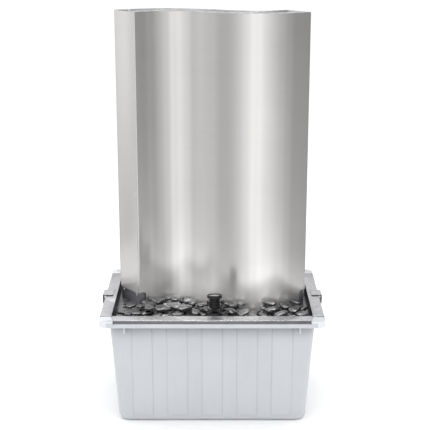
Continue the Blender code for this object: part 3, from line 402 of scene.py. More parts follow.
def brushed_steel(name, colour, roughness, anisotropy, mottle=0.0, wave=0.0, metallic=1.0, painted_bands=False):
    """Steel brushed along U: fine stretched grain, broad patches, and stains, waves or painted reflection
    bands.
    """
    tree, shader = new_material(name, colour, roughness, {
        "Metallic": metallic, "Anisotropic": anisotropy, "Anisotropic Rotation": 0.25})
    tangent = add_node(tree, "Tangent")
    tangent.direction_type = "UV_MAP"
    tangent.uv_map = "grain"
    fill(tree, shader, {"Tangent": tangent.outputs["Tangent"]})
    grain = noise_value(tree, 1.0, 2.0, stretch=(6.0, 1400.0, 1.0), source="UV")
    coarse = noise_value(tree, 1.0, 2.0, stretch=(2.0, 260.0, 1.0), source="UV")
    patch = noise_value(tree, 7.0, 4.0)
    light = tuple(c * 1.01 for c in colour)
    dark = tuple(c * 0.975 for c in colour)
    base = tint(tree, grain, dark, light)
    base = stain(tree, base, coarse, (0.985, 0.985, 0.986))
    if mottle:
        spots = noise_value(tree, 95.0, 3.0, 0.6)
        low = 1.0 - mottle
        base = stain(tree, base, spots, (low, low, low * 1.005), 0.35, 0.62)
    base = stain(tree, base, patch, (0.975, 0.977, 0.98))
    if painted_bands:
        # painted reflection bands along the wall's S
        base = multiply(tree, base, attribute(tree, "painted_reflection")["Color"])
    rough = spread(tree, patch, roughness - 0.03, roughness + 0.04)
    fill(tree, shader, {"Base Color": base, "Roughness": rough})
    if wave:
        bump(tree, shader, noise_value(tree, 16.0, 1.0), 1.0, wave)
    else:
        bump(tree, shader, coarse, 0.3, 0.00003)


def make_tub_plastic(name, pale):
    """Milky polypropylene, darkened where the mesh's painted shade values are high, with a faint orange
    peel.
    """
    light = tuple(pale * c for c in (0.570, 0.583, 0.606))
    tree, shader = new_material(name, light, 0.36, {
        "Subsurface Weight": 0.20, "Subsurface Radius": (0.9, 1.0, 1.1), "Subsurface Scale": 0.006,
        "Specular IOR Level": 0.42})
    cloud = noise_value(tree, 9.0, 3.0)
    streak = noise_value(tree, 1.0, 2.0, stretch=(160.0, 160.0, 5.0))
    base = tint(tree, cloud, tuple(0.955 * c for c in light), light)
    base = stain(tree, base, streak, (0.985, 0.985, 0.985))
    shaded = attribute(tree, "painted_tub_shade")["Fac"]
    base = multiply(tree, base, tint(tree, shaded, WHITE, (0.40, 0.41, 0.43), 0, 1))
    fill(tree, shader, {"Base Color": base, "Roughness": spread(tree, cloud, 0.30, 0.44)})
    peel = noise_value(tree, 420.0, 2.0)
    bump(tree, shader, peel, 0.18, 0.0002)


def make_stone():
    """Dark river pebbles, tumbled and waxed, each with its own tone, painted shade towards its underside,
    and faint veins.
    """
    tree, shader = new_material("pebble_stone", (0.06, 0.06, 0.065), 0.25, {
        "IOR": 1.65, "Coat Weight": 0.75, "Coat IOR": 1.60, "Coat Roughness": 0.12})
    shade = attribute(tree, "pebble_tone_and_shade")["Fac"]
    own = tint(tree, shade, (0.003, 0.003, 0.0035), (0.079, 0.080, 0.086), 0.0, 1.0)
    speck = noise_value(tree, 260.0, 4.0, 0.7)
    vein = noise_value(tree, 48.0, 5.0, 0.6, stretch=(1.0, 1.6, 0.8))
    base = stain(tree, own, speck, (0.72, 0.72, 0.73), 0.32, 0.6)
    base = stain(tree, base, vein, (0.78, 0.78, 0.80), 0.40, 0.60)
    fill(tree, shader, {"Base Color": base, "Roughness": spread(tree, vein, 0.20, 0.38)})
    bump(tree, shader, speck, 0.25, 0.0003)


def make_coat(name, colour, roughness, grain_scale=900.0, depth=0.0002, shine=0.5):
    """Powder coat, anodising or moulded plastic: fine texture, worn lighter in broad patches."""
    tree, shader = new_material(name, colour, roughness, {"Specular IOR Level": shine})
    fine = noise_value(tree, grain_scale, 2.0)
    patch = noise_value(tree, 45.0, 4.0)
    worn = tuple(min(1.0, c * 1.35 + 0.004) for c in colour)
    base = tint(tree, patch, colour, worn, 0.35, 0.75)
    rough = spread(tree, patch, roughness - 0.06, roughness + 0.08)
    fill(tree, shader, {"Base Color": base, "Roughness": rough})
    bump(tree, shader, fine, 0.35, depth)


def make_lens():
    """Thick clear lens, faintly frosted."""
    tree, shader = new_material("lamp_lens", (0.93, 0.95, 0.97), 0.08, {
        "Transmission Weight": 0.75, "IOR": 1.45})
    frost = noise_value(tree, 320.0, 2.0)
    fill(tree, shader, {"Roughness": spread(tree, frost, 0.06, 0.22)})
    bump(tree, shader, frost, 0.10, 0.0002)


def make_hose():
    """Slightly see-through grey vinyl."""
    tree, shader = new_material("hose", (0.16, 0.18, 0.18), 0.28, {"Transmission Weight": 0.25})
    cloud = noise_value(tree, 60.0, 3.0)
    base = tint(tree, cloud, (0.12, 0.14, 0.14), (0.20, 0.22, 0.22))
    fill(tree, shader, {"Base Color": base, "Roughness": spread(tree, cloud, 0.22, 0.36)})


def make_materials():
    # the skins' colour carries painted reflection bands along the wall
    brushed_steel("skin_steel", (0.582, 0.571, 0.557), 0.20, 0.5, metallic=0.7, painted_bands=True)
    brushed_steel("end_steel", (0.525, 0.512, 0.500), 0.24, 0.5, metallic=0.4)
    brushed_steel("rail_steel", (0.675, 0.669, 0.690), 0.26, 0.35, mottle=0.16, wave=0.0009, metallic=0.8)
    # darker copies of the rail steel, for painted shade on the rails' lips and inner sides and the clips'
    # edges
    brushed_steel("rail_lip_painted_shade", (0.22, 0.22, 0.225), 0.34, 0.30, mottle=0.10)
    brushed_steel("steel_painted_deep_shade", (0.07, 0.07, 0.072), 0.45, 0.20, mottle=0.20)
    brushed_steel("inner_steel", (0.50, 0.50, 0.505), 0.40, 0.30, mottle=0.08)
    brushed_steel("screw_steel", (0.72, 0.72, 0.72), 0.22, 0.20)
    make_tub_plastic("tub_plastic", 1.0)
    # a paler copy of the tub plastic: painted light on the rim's corners and the webs under it
    make_tub_plastic("tub_painted_light", 1.28)
    make_stone()
    make_coat("dark_coat", (0.080, 0.080, 0.088), 0.50, 700.0, 0.0003)
    make_coat("lamp_black", (0.006, 0.006, 0.0065), 0.40, 1200.0, 0.00015, shine=0.28)
    make_coat("pump_black", (0.020, 0.020, 0.022), 0.48)
    make_coat("grey_plastic", (0.28, 0.29, 0.31), 0.42)
    make_coat("rubber", (0.013, 0.013, 0.013), 0.62, 500.0, 0.0003)
    make_coat("ceramic", (0.80, 0.79, 0.75), 0.20, 300.0, 0.0001)
    make_coat("board", (0.78, 0.78, 0.72), 0.45, 260.0, 0.0002)
    make_lens()
    make_hose()


# ---- the steel wall

FOLD_RADIUS = 0.004
PANEL_EDGE = WALL_THICK / 2 - FOLD_RADIUS - 0.0010
NOTCH_WIDTH = 0.022
NOTCH_RADIUS = 0.009
NOTCH_TOPS = {"wall_front_skin": (0.310, 0.323), "wall_back_skin": (0.323, 0.310)}
NOTCH_BANDS = ((0.0405, 0.056), (-0.056, -0.0405))      # across the wall, round each skin
END_FLANGE = 0.012
S_STEPS = 150


def folded_line(side, outer, radius):
    """Plan of one face of a skin: folded left end, the S, folded right end."""
    start = SHEET if outer < WALL_THICK / 2 else 0.0
    left = [(start, PANEL_EDGE + 0.0002)]
    left += [(start + radius * b, outer - radius * a) for a, b in reversed(quarter_round(6))]
    first = left[-1][0]
    middle = [(first + (WALL_LENGTH - 2 * first) * i / S_STEPS, outer) for i in range(1, S_STEPS)]
    right = [(WALL_LENGTH - d, off) for d, off in reversed(left)]
    return [wall_point(distance, side * offset) for distance, offset in left + middle + right]


def notch_cutter(tops):
    """Rounded blocks that open the lower corners of a skin."""
    bm = bmesh.new()
    for end, top in zip((-1, 1), tops):
        place = end_frame(end)
        outline = [(-0.01, 0.25), (NOTCH_WIDTH, 0.25)]
        outline += [(NOTCH_WIDTH - NOTCH_RADIUS * a, top - NOTCH_RADIUS * b) for a, b in quarter_round(8)]
        outline.append((-0.01, top))
        for band in NOTCH_BANDS:
            loft(bm, [[place @ Vector((u, across, z)) for u, z in outline] for across in band])
    return bm


def build_wall_skin(node, side):
    outside = folded_line(side, WALL_THICK / 2, FOLD_RADIUS)
    inside = folded_line(side, WALL_THICK / 2 - SHEET, FOLD_RADIUS - SHEET)
    low, high = (corner.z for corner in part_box(node))
    bm = bmesh.new()
    rings = []
    for (ox, oy), (ix, iy) in zip(outside, inside):
        rings.append([(ox, oy, low), (ox, oy, high), (ix, iy, high), (ix, iy, low)])
    loft(bm, rings)
    skin = make_piece(node, "skin_steel", bm, 30, cut=notch_cutter(NOTCH_TOPS[node]))
    wall_uv(skin)
    set_painted_reflection(skin)


def build_wall_end(node, side):
    """Flat end panel between the skins' folded edges, its flanges turned in and cut off at the trough."""
    low, high = (corner.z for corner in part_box(node))
    edge = PANEL_EDGE
    flange = [(END_FLANGE, edge), (END_FLANGE, edge - SHEET), (SHEET, edge - SHEET)]
    outline = [(0, -edge), (0, edge)] + flange + [(u, -v) for u, v in reversed(flange)]
    place = end_frame(side)
    trough_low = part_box("wall_trough")[0].z - 0.0006
    room = add_box(bmesh.new(), (SHEET, -0.06, trough_low), (0.02, 0.06, high + 0.01), place)
    panel = make_piece(node, "end_steel", prism(outline, ((1, low), (1, high)), place), cut=room)
    bevel_edges(panel, 0.0004)
    inward, across, _ = place.to_3x3().col
    grain_uv(panel, across)
    repaint(panel, "inner_steel", lambda face: face.normal.dot(inward) > 0.7)


def build_wall():
    build_wall_skin("wall_front_skin", -1)
    build_wall_skin("wall_back_skin", 1)
    build_wall_end("wall_left_end", -1)
    build_wall_end("wall_right_end", 1)
    for node in ("wall_trough", "diffuser_plate", "wall_rib_lower", "wall_rib_middle", "wall_rib_upper"):
        refine(node, "inner_steel", bevel=0)
    refine("spreader_pipe", "inner_steel", bevel=0, smooth=50)
    for end in ("left", "right"):
        refine(f"wall_{end}_foot", "dark_coat", bevel=0.0005)
        refine(f"wall_{end}_bolt", "screw_steel", bevel=0.0003)


# A foot screw from its tip to its pan head, as (radius, height over the head's seat).
SCREW_PROFILE = [(0.0019, -0.0080), (0.0020, -0.0075), (0.0020, 0.0), (0.0040, 0.0),
                 (0.0040, 0.0008), (0.0037, 0.0015), (0.0030, 0.0021), (0.0019, 0.0025)]
SCREW_SEAT = 0.0027     # from the middle of the screw's length to the head's seat
RECESS_REACH = 0.0022
RECESS_WIDTH = 0.0009
RECESS_LEVELS = ((0.55, 0.0010), (1.0, 0.0036))     # share of the full size, and height


def cross_recess(place):
    """Cutter for the cross recess in a screw's head, narrower at its bottom."""
    half, reach = RECESS_WIDTH / 2, RECESS_REACH
    outline = [(half, half), (half, reach), (-half, reach), (-half, half), (-reach, half), (-reach, -half),
               (-half, -half), (-half, -reach), (half, -reach), (half, -half), (reach, -half), (reach, half)]
    return prism(outline, RECESS_LEVELS, place)


def build_foot_screws():
    """Pan-head screws through the feet, each with a cross recess."""
    for side, label in ((-1, "left"), (1, "right")):
        inward = end_frame(side).to_3x3().col[0].normalized()
        for mark in ("a", "b"):
            node = f"{label}_foot_screw_{mark}"
            low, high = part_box(node)
            place = axis_frame((low + high) / 2 - inward * SCREW_SEAT, -inward)
            solid = turned(SCREW_PROFILE, 32, place)
            screw = make_piece(node, "screw_steel", solid, 40, cut=cross_recess(place))
            grain_uv(screw, (0, 0, 1))


# ---- tub, tray and clips

def is_rail_side(face):
    """Whether a face is one of a rail's upright long sides, not the end where two rails meet."""
    upright = abs(face.normal.x) > 0.8 or abs(face.normal.y) > 0.8
    return upright and max(abs(face.center.x), abs(face.center.y)) > 0.2


def paint_shade_on_sides(rail):
    """Painted shade: the lip hanging over the rim gets a darker copy of the rail steel, and the side in the
    tray a darker one still.
    """
    repaint(rail, "rail_lip_painted_shade", is_rail_side)
    repaint(rail, "steel_painted_deep_shade", lambda face: is_rail_side(face) and face.normal.xy.dot(face.center.xy) < 0)


PANEL_PITCH = 0.094
PANEL_WIDTH = 0.051
PANEL_SLOPE = 0.004
PANEL_TOP = 0.2875
PANELS_REACH = (0.237, 0.120)       # how far along the front and the sides the panels go
STEP_SHADE = 0.13       # painted shade on the panels' sloping edges
SHADE_START = 0.238     # painted shade, under the rim where the tray stands behind, starts at this height
NECK = RIM_TOP - 0.016
NECK_HALF = (0.2755, 0.2005)
NECK_MARGIN = 0.003
CORNER_START = 0.268
WEB_TOP = RIM_TOP - 0.024
TUB_SLICES = (SHADE_START, 0.250, 0.272, 0.278, 0.284)      # so that the painted shade can run up the wall


def wall_shade(point):
    """Painted shade on the tub's wall below the rim, where the tray stands behind: how much it darkens."""
    return max(0.0, min(1.0, (point.z - SHADE_START) / (NECK - SHADE_START))) ** 2


def on_panel_step(centre):
    """Whether a wall face lies on the sloping edge of a raised panel."""
    axis = 0 if abs(centre.y) / NECK_HALF[1] > abs(centre.x) / NECK_HALF[0] else 1
    along = centre[axis]
    away = abs(along - round(along / PANEL_PITCH) * PANEL_PITCH)
    sloping = PANEL_WIDTH / 2 < away < PANEL_WIDTH / 2 + PANEL_SLOPE
    return sloping and abs(along) < PANELS_REACH[axis] and centre.z < PANEL_TOP


def is_rim(centre):
    outside = [abs(side) > half + NECK_MARGIN for side, half in zip(centre, NECK_HALF)]
    return any(outside) or centre.z > NECK + NECK_MARGIN


def is_corner(centre):
    """The rim's corners and the webs under it, which get painted light: a paler copy of the tub plastic."""
    return abs(centre.x) > CORNER_START or centre.z < WEB_TOP


def build_tub():
    """The tub: painted shade on its wall below the rim and on its panels' edges, painted light on its rim's
    corners.
    """
    tub = refine("tub", "tub_plastic", bevel=0.0005, smooth=25, edge=15)
    bm = bmesh.new()
    bm.from_mesh(tub.data)
    for height in TUB_SLICES:
        geometry = bm.verts[:] + bm.edges[:] + bm.faces[:]
        bmesh.ops.bisect_plane(bm, geom=geometry, plane_co=(0, 0, height), plane_no=(0, 0, 1))
    bm.to_mesh(tub.data)
    bm.free()
    shading = tub.data.attributes.new("painted_tub_shade", "FLOAT", "CORNER")
    for face in tub.data.polygons:
        if is_rim(face.center) or abs(face.normal.z) >= 0.5:
            continue
        step = STEP_SHADE if on_panel_step(face.center) else 0.0
        for loop in face.loop_indices:
            point = tub.data.vertices[tub.data.loops[loop].vertex_index].co
            shading.data[loop].value = step + wall_shade(point)
    # painted light: the rim's corners and webs take the paler copy
    repaint(tub, "tub_painted_light", lambda face: is_rim(face.center) and is_corner(face.center))


def build_basin():
    build_tub()
    for sides, grain in ((("front", "rear"), (1, 0, 0)), (("left", "right"), (0, 1, 0))):
        for side in sides:
            paint_shade_on_sides(refine(side + "_rail", "rail_steel", grain, bevel=0.0006))
    refine("tray_floor", "inner_steel", bevel=0)
    for side in ("left", "right"):
        refine(side + "_cross_beam", "inner_steel", (0, 1, 0), bevel=0.0005)
    for side in ("left", "right"):
        clip = refine(side + "_rim_clip", "rail_steel", (0, 1, 0), body=side + "_clip_body")
        repaint(clip, "steel_painted_deep_shade", lambda face: abs(face.normal.y) > 0.7)     # painted shade on the sheared edges


# ---- water supply

def build_water_supply():
    refine("pump_body", "pump_black", bevel=0.0012)
    refine("pump_cover", "pump_black", bevel=0.0003, body="pump_cover_body")
    refine("pump_outlet", "pump_black", bevel=0.0002, smooth=50)
    refine("pump_impeller", "grey_plastic", bevel=0, body="impeller_body")
    refine("impeller_shaft", "ceramic", bevel=0.0001, smooth=50)
    refine("pump_flow_knob", "grey_plastic", bevel=0.0004, body="flow_knob_body")
    refine("pump_cable_gland", "rubber", bevel=0.0003, smooth=50)
    refine("lamp_socket", "pump_black", bevel=0.0003, smooth=50)
    refine("riser_hose", "hose", bevel=0, smooth=60)
    for place in ("lower", "upper"):
        refine("hose_clamp_" + place, "screw_steel", bevel=0.0001)
    for place in ("front_left", "front_right", "rear_left", "rear_right"):
        refine("suction_foot_" + place, "rubber", bevel=0.0003, smooth=50)


# ---- spotlight

LAMP_LEAN = math.radians(8.0)
LAMP_PIVOT = Vector((LAMP.x, LAMP.y, 0.336))
PIVOT_FRAME = axis_frame(LAMP_PIVOT, (1, 0, 0))
PIVOT_BORE = 0.0023
SIDES = 72
YOKE_HALF = 0.0190      # half of its width
YOKE_SHEET = 0.0020
YOKE_BEND = 0.0030
YOKE_LOW = 0.3130
ARM_HALF = 0.0060       # half of the strip's width, and the radius of the arms' round ends


def build_lamp_base():
    place = Matrix.Translation(LAMP)
    low = LAMP_BASE_LOW.z
    profile = [(0.0190, low), (0.0195, low + 0.0012), (0.0195, 0.3056), (0.0189, 0.3068), (0.0179, 0.3076),
               (0.0172, 0.3079), (0.0168, 0.3076), (0.0164, 0.3079), (0.0112, 0.3089), (0.0104, 0.3091),
               (0.0082, 0.3101), (0.0064, 0.3110), (0.0060, 0.3114), (0.0060, LAMP_BASE_HIGH.z)]
    stem_bore = bore(0.0028, 0.295, 0.33, place)
    make_piece("lamp_base", "lamp_black", turned(profile, SIDES, place), 32, cut=stem_bore)


def build_lamp_yoke():
    """Strip steel bent to a U with round arm ends, and the stem that swivels in the base."""
    bend = [(YOKE_HALF - YOKE_BEND * b, YOKE_LOW + YOKE_BEND * a) for a, b in reversed(quarter_round(8))]
    right = [(YOKE_HALF, LAMP_PIVOT.z)] + bend
    outer = right + [(-x, z) for x, z in reversed(right)]
    inner = []
    for (x, z), near, far in zip(outer, outer[:1] + outer, outer[1:] + outer[-1:]):
        run = Vector((far[0] - near[0], far[1] - near[1])).normalized()
        inner.append((x + run.y * YOKE_SHEET, z - run.x * YOKE_SHEET))
    bm = bmesh.new()
    rings = []
    front, rear = LAMP.y - ARM_HALF, LAMP.y + ARM_HALF
    for (ox, oz), (ix, iz) in zip(outer, inner):
        rings.append([(LAMP.x + ox, front, oz), (LAMP.x + ox, rear, oz),
                      (LAMP.x + ix, rear, iz), (LAMP.x + ix, front, iz)])
    loft(bm, rings)
    yoke = make_piece("lamp_yoke", "lamp_black", bm, body="lamp_yoke_body")
    for low, high in ((-YOKE_HALF, YOKE_SHEET - YOKE_HALF), (YOKE_HALF - YOKE_SHEET, YOKE_HALF)):
        boolean(yoke, turned([(ARM_HALF, low), (ARM_HALF, high)], 48, PIVOT_FRAME), "UNION")
    stem = turned([(0.0025, 0.298), (0.0025, 0.3140)], 24, Matrix.Translation(LAMP))
    boolean(yoke, stem, "UNION")
    boolean(yoke, bore(PIVOT_BORE, -0.03, 0.03, PIVOT_FRAME))
    bevel_edges(yoke, 0.0003)


def build_lamp_head():
    """Finned aluminium body of the spotlight, and the pieces it holds."""
    place = Matrix.Translation(LAMP_PIVOT) @ Matrix.Rotation(-LAMP_LEAN, 4, "X")
    body = [(0.0068, -0.0180), (0.0092, -0.0176), (0.0100, -0.0168), (0.0118, -0.0147), (0.0126, -0.0137)]
    for i in range(4):
        start = -0.0130 + 0.0062 * i
        body += [(0.0141, start), (0.0145, start + 0.0004), (0.0145, start + 0.0031),
                 (0.0141, start + 0.0035), (0.0127, start + 0.0039), (0.0126, start + 0.0043),
                 (0.0126, start + 0.0055)]
    body += [(0.0145, 0.0120), (0.0143, 0.0125)]
    solid = turned(body, SIDES, place)
    pin_bore = bore(PIVOT_BORE, -0.03, 0.03, PIVOT_FRAME)
    make_piece("lamp_head", "lamp_black", solid, 32, "lamp_head_body", pin_bore)
    build_bezel(place)
    build_lens(place)
    build_led_board(place)


def build_bezel(place):
    profile = [(0.0134, 0.0128), (0.0190, 0.0128), (0.0197, 0.0131), (0.0203, 0.0140), (0.0203, 0.0200),
               (0.0200, 0.0206), (0.0193, 0.0210), (0.0158, 0.0210), (0.0153, 0.0207), (0.0152, 0.0192),
               (0.0168, 0.0192), (0.0168, 0.0148), (0.0134, 0.0148)]
    ring = turned(profile, SIDES, place, ring=True)
    make_piece("lamp_bezel", "lamp_black", ring, 32, "lamp_head_body")


def build_lens(place):
    """Round lens with a shallow dome and moulded rings."""
    profile = [(0.0165, 0.0151), (0.0165, 0.0186), (0.0150, 0.0189)]
    for i in range(6):
        radius = 0.0140 - 0.0021 * i
        profile += [(radius, 0.01893), (radius - 0.0007, 0.01868), (radius - 0.0014, 0.01893)]
    profile.append((0.0010, 0.0189))
    make_piece("lamp_glass", "lamp_lens", turned(profile, SIDES, place), 60, "lamp_head_body")


def build_led_board(place):
    """Round board with seven emitters in low squares."""
    bm = turned([(0.0128, 0.0128), (0.0130, 0.0130), (0.0130, 0.0138)], 48, place)
    half = 0.0016
    for x, y in [(0.0, 0.0)] + circle(0.0078, 6):
        add_box(bm, (x - half, y - half, 0.0137), (x + half, y + half, 0.0143), place)
    make_piece("led_board", "board", bm, body="lamp_head_body")


def build_pivot_pin():
    """Through pin with a slotted round head."""
    profile = [(0.0030, -0.0213), (0.0038, -0.0211), (0.0042, -0.0206), (0.0042, -0.0193),
               (0.0020, -0.0193), (0.0020, 0.0232), (0.0017, 0.0235)]
    slot = add_box(bmesh.new(), (-0.006, -0.0005, -0.0225), (0.006, 0.0005, -0.0206), PIVOT_FRAME)
    solid = turned(profile, 36, PIVOT_FRAME)
    make_piece("lamp_pivot_pin", "lamp_black", solid, 32, "lamp_yoke_body", slot)


KNOB_RIBS = 16
KNOB_RADIUS = 0.00522
RIB_HEIGHT = 0.00028
# The knob's outline along its axis: share of its full radius, and height.
KNOB_PROFILE = [(0.94, 0.0193), (1.0, 0.0197), (1.0, 0.0251), (0.95, 0.0258), (0.86, 0.0263), (0.74, 0.0265)]


def build_lock_knob():
    """Ribbed knob with a blind bore for the pin's end."""
    outline = []
    for i, (x, y) in enumerate(circle(1.0, KNOB_RIBS * 6)):
        radius = KNOB_RADIUS + RIB_HEIGHT * math.cos(2 * math.pi * i / 6)
        outline.append((radius * x, radius * y))
    solid = prism(outline, KNOB_PROFILE, PIVOT_FRAME)
    blind_bore = bore(PIVOT_BORE, 0.0150, 0.0240, PIVOT_FRAME)
    make_piece("lamp_lock_knob", "lamp_black", solid, 40, "lamp_knob_body", blind_bore)


# The lead's given route: out of the gland, over the pebbles, through a floor slot and down to the pump.
LEAD_ROUTE = [
    (0.0392, -0.1550, 0.3093), (0.0418, -0.1551, 0.3129), (0.0456, -0.1553, 0.3160),
    (0.0502, -0.1556, 0.3169), (0.0546, -0.1561, 0.3148), (0.0579, -0.1568, 0.3100),
    (0.0597, -0.1578, 0.3030), (0.0606, -0.1592, 0.2920), (0.0610, -0.1603, 0.2780),
    (0.0611, -0.1607, 0.2650), (0.0610, -0.1605, 0.2300), (0.0605, -0.1590, 0.1700),
    (0.0600, -0.1540, 0.1000), (0.0615, -0.1450, 0.0480), (0.0670, -0.1300, 0.0160),
    (0.0740, -0.1080, 0.0060), (0.0800, -0.0800, 0.0047), (0.0840, -0.0500, 0.0047),
    (0.0845, -0.0220, 0.0056), (0.0825, -0.0010, 0.0120), (0.0790, 0.0150, 0.0230),
    (0.0745, 0.0250, 0.0320), (0.0680, 0.0290, 0.0358), (0.0622, 0.0300, 0.0360),
]
LEAD_RADIUS = 0.0018
# The gland's middle line from the lamp's axis, x and z, and its radius there.
GLAND = [(0.0201, 0.2980, 0.0045), (0.0224, 0.2980, 0.0045), (0.0229, 0.2980, 0.0039),
         (0.0237, 0.2983, 0.0037), (0.0258, 0.2993, 0.0034), (0.0282, 0.3018, 0.0031),
         (0.0304, 0.3053, 0.0027), (0.0325, 0.3090, 0.0024)]
GROOVE_DEPTH = 0.00035


def smooth_path(anchors, pieces):
    """Points of a Catmull-Rom curve through the anchors."""
    points = [Vector(a) for a in anchors]
    points = [points[0] * 2 - points[1]] + points + [points[-1] * 2 - points[-2]]
    result = []
    for p0, p1, p2, p3 in zip(points, points[1:], points[2:], points[3:]):
        for i in range(pieces):
            t = i / pieces
            result.append(0.5 * (2 * p1 + (p2 - p0) * t + (2 * p0 - 5 * p1 + 4 * p2 - p3) * t * t
                                 + (3 * p1 - p0 - 3 * p2 + p3) * t ** 3))
    return result + [points[-2]]


def build_gland():
    """Bent rubber strain relief with flexing grooves in its outer half."""
    rings = []
    pieces = 6
    path = smooth_path([(LAMP.x + x, LAMP.y, z) for x, z, _ in GLAND], pieces)
    for i, point in enumerate(path):
        share = i / pieces
        index = min(int(share), len(GLAND) - 2)
        radius = GLAND[index][2] + (GLAND[index + 1][2] - GLAND[index][2]) * (share - index)
        if index > 3:
            radius -= GROOVE_DEPTH * max(0.0, math.sin(2 * math.pi * share * 1.5))
        ahead = path[min(i + 1, len(path) - 1)] - path[max(i - 1, 0)]
        matrix = axis_frame(point, ahead if index > 1 else (1, 0, 0))
        rings.append([matrix @ Vector((x, y, 0)) for x, y in circle(radius, 32)])
    bm = bmesh.new()
    loft(bm, rings)
    make_piece("lamp_gland", "rubber", bm, 50)


def build_lead():
    """The round lead along its route, with its plug."""
    path = smooth_path(LEAD_ROUTE, 8)
    curve = bpy.data.curves.new("lamp_lead_finished", "CURVE")
    curve.dimensions = "3D"
    curve.bevel_depth = LEAD_RADIUS
    curve.bevel_resolution = 6
    curve.use_fill_caps = True
    spline = curve.splines.new("POLY")
    spline.points.add(len(path) - 1)
    for point, position in zip(spline.points, path):
        point.co = (*position, 1.0)
    spline.use_smooth = True
    lead = add_object("lamp_lead_finished", curve)
    dress(lead, "rubber", "lamp_lead")
    plug = build_plug()


def build_plug():
    """Round moulded plug with four finger grooves."""
    low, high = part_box("lamp_plug")
    pivot = axis_frame((low.x, (low.y + high.y) / 2, (low.z + high.z) / 2), (1, 0, 0))
    long = high.x - low.x
    profile = [(0.0058, 0.0), (0.0060, 0.0003)]
    for i in range(4):
        start = 0.0015 + 0.0020 * i
        profile += [(0.0060, start), (0.0056, start + 0.0003), (0.0056, start + 0.0010),
                    (0.0060, start + 0.0013)]
    profile += [(0.0060, 0.0096), (0.0058, 0.0100), (0.0045, 0.0112), (0.0028, long)]
    return make_piece("lamp_plug", "rubber", turned(profile, 40, pivot), 32)


def build_spotlight():
    build_lamp_base()
    build_lamp_yoke()
    build_lamp_head()
    build_pivot_pin()
    build_lock_knob()
    build_gland()
    build_lead()


# ---- pebbles

CELL = 0.002
PEBBLE_SEED = 8
BED_TOP = 0.3150
EDGE_TOP = 0.3070       # along the rails; from there the bed may rise inward
EDGE_RISE = 0.35
HOLLOW_RISE = 1.6
BANK_REACH = 0.035      # how far from the wall the bed banks up or falls
LAMP_ROOM = (0.044, 0.3110)     # reach and height of the lower bed under the lamp's swing
LAMP_GAP = 0.0207       # from the lamp's axis to the nearest pebble
GLAND_ROOM = (0.0360, 0.0065)       # length and half width kept free for the gland
WALL_GAP = 0.0012
TRIES = 36          # places tried for each pebble
PATIENCE = 90       # pebbles that find no room before the packing ends
UNDER_LAYERS = 110      # pebbles laid before those that may tilt more
HALF_LENGTHS = (0.0165, 0.0270)     # of the pebbles, from the shortest to the longest
WIDTH_SHARES = (0.58, 0.84)
THICKNESS_SHARES = (0.27, 0.38)
HALF_THICKEST = 0.0085
DENT_SHARE = 0.19       # how deep broad dents and fine wear go
WEAR_SHARE = 0.07


def tray_cells():
    """X and Y of the middle of each cell of the tray."""
    lines = [np.arange(-half + 0.0015, half - 0.001, CELL) for half in TRAY_HALF]
    return np.meshgrid(*lines, indexing="ij")


# Places where the bed is low: centre, how far the low place reaches, and its height. The last four make
# a gap between two heaps, wider towards the wall.
HOLLOWS = [
    ((-0.236, -0.014), 0.022, 0.276),
    ((0.262, -0.022), 0.016, 0.286),
    ((0.117, -0.095), 0.008, 0.289),
    ((0.117, -0.120), 0.007, 0.294),
    ((0.117, -0.145), 0.006, 0.301),
    ((0.117, -0.170), 0.005, 0.307),
]


def pebble_ceiling(gx, gy):
    """The highest that pebbles may reach at each place, and where there is room for none."""
    edge = np.minimum(TRAY_HALF[0] - np.abs(gx), TRAY_HALF[1] - np.abs(gy))
    ceiling = np.minimum(BED_TOP, EDGE_TOP + EDGE_RISE * edge)
    distance, offset = wall_place(gx, gy)
    wall_gap = np.maximum(np.abs(offset) - WALL_THICK / 2, 0)
    fall = np.where(gx < 0.01, 0.014, np.where(gx < 0.06, 0.004, -0.005))
    ceiling = ceiling - fall * np.exp(-(wall_gap / BANK_REACH) ** 2)
    for (x, y), reach, level in HOLLOWS:
        away = np.maximum(np.hypot(gx - x, gy - y) - reach, 0)
        ceiling = np.minimum(ceiling, level + HOLLOW_RISE * away)
    lamp_gap = np.hypot(gx - LAMP.x, gy - LAMP.y)
    ceiling = np.where(lamp_gap < LAMP_ROOM[0], np.minimum(ceiling, LAMP_ROOM[1]), ceiling)
    in_wall = (distance > -WALL_GAP) & (distance < WALL_LENGTH + WALL_GAP)
    in_wall &= np.abs(offset) < WALL_THICK / 2 + WALL_GAP
    gland = (gx > LAMP.x) & (gx < LAMP.x + GLAND_ROOM[0]) & (np.abs(gy - LAMP.y) < GLAND_ROOM[1])
    blocked = in_wall | gland | (lamp_gap < LAMP_GAP)
    for x, y, z in smooth_path(LEAD_ROUTE, 8):
        if z > FLOOR_TOP - 0.01:
            near = np.hypot(gx - x, gy - y) < LEAD_RADIUS + 0.0020
            ceiling = np.where(near, np.minimum(ceiling, z - LEAD_RADIUS - 0.0008), ceiling)
    return np.where(blocked, 0.0, ceiling)


def pebble_form(rng, top_layer):
    """Semi-axes and rotation of one pebble."""
    long = rng.uniform(*HALF_LENGTHS)
    wide = long * rng.uniform(*WIDTH_SHARES)
    axes = np.array([long, wide, min(long * rng.uniform(*THICKNESS_SHARES), HALF_THICKEST)])
    tilt = math.radians(rng.uniform(2, 15 if top_layer else 10))
    turn = Matrix.Rotation(rng.uniform(0, 2 * math.pi), 3, "Z")
    lean = Matrix.Rotation(tilt, 3, Vector((rng.uniform(-1, 1), rng.uniform(-1, 1), 0)).normalized())
    return axes, lean @ turn


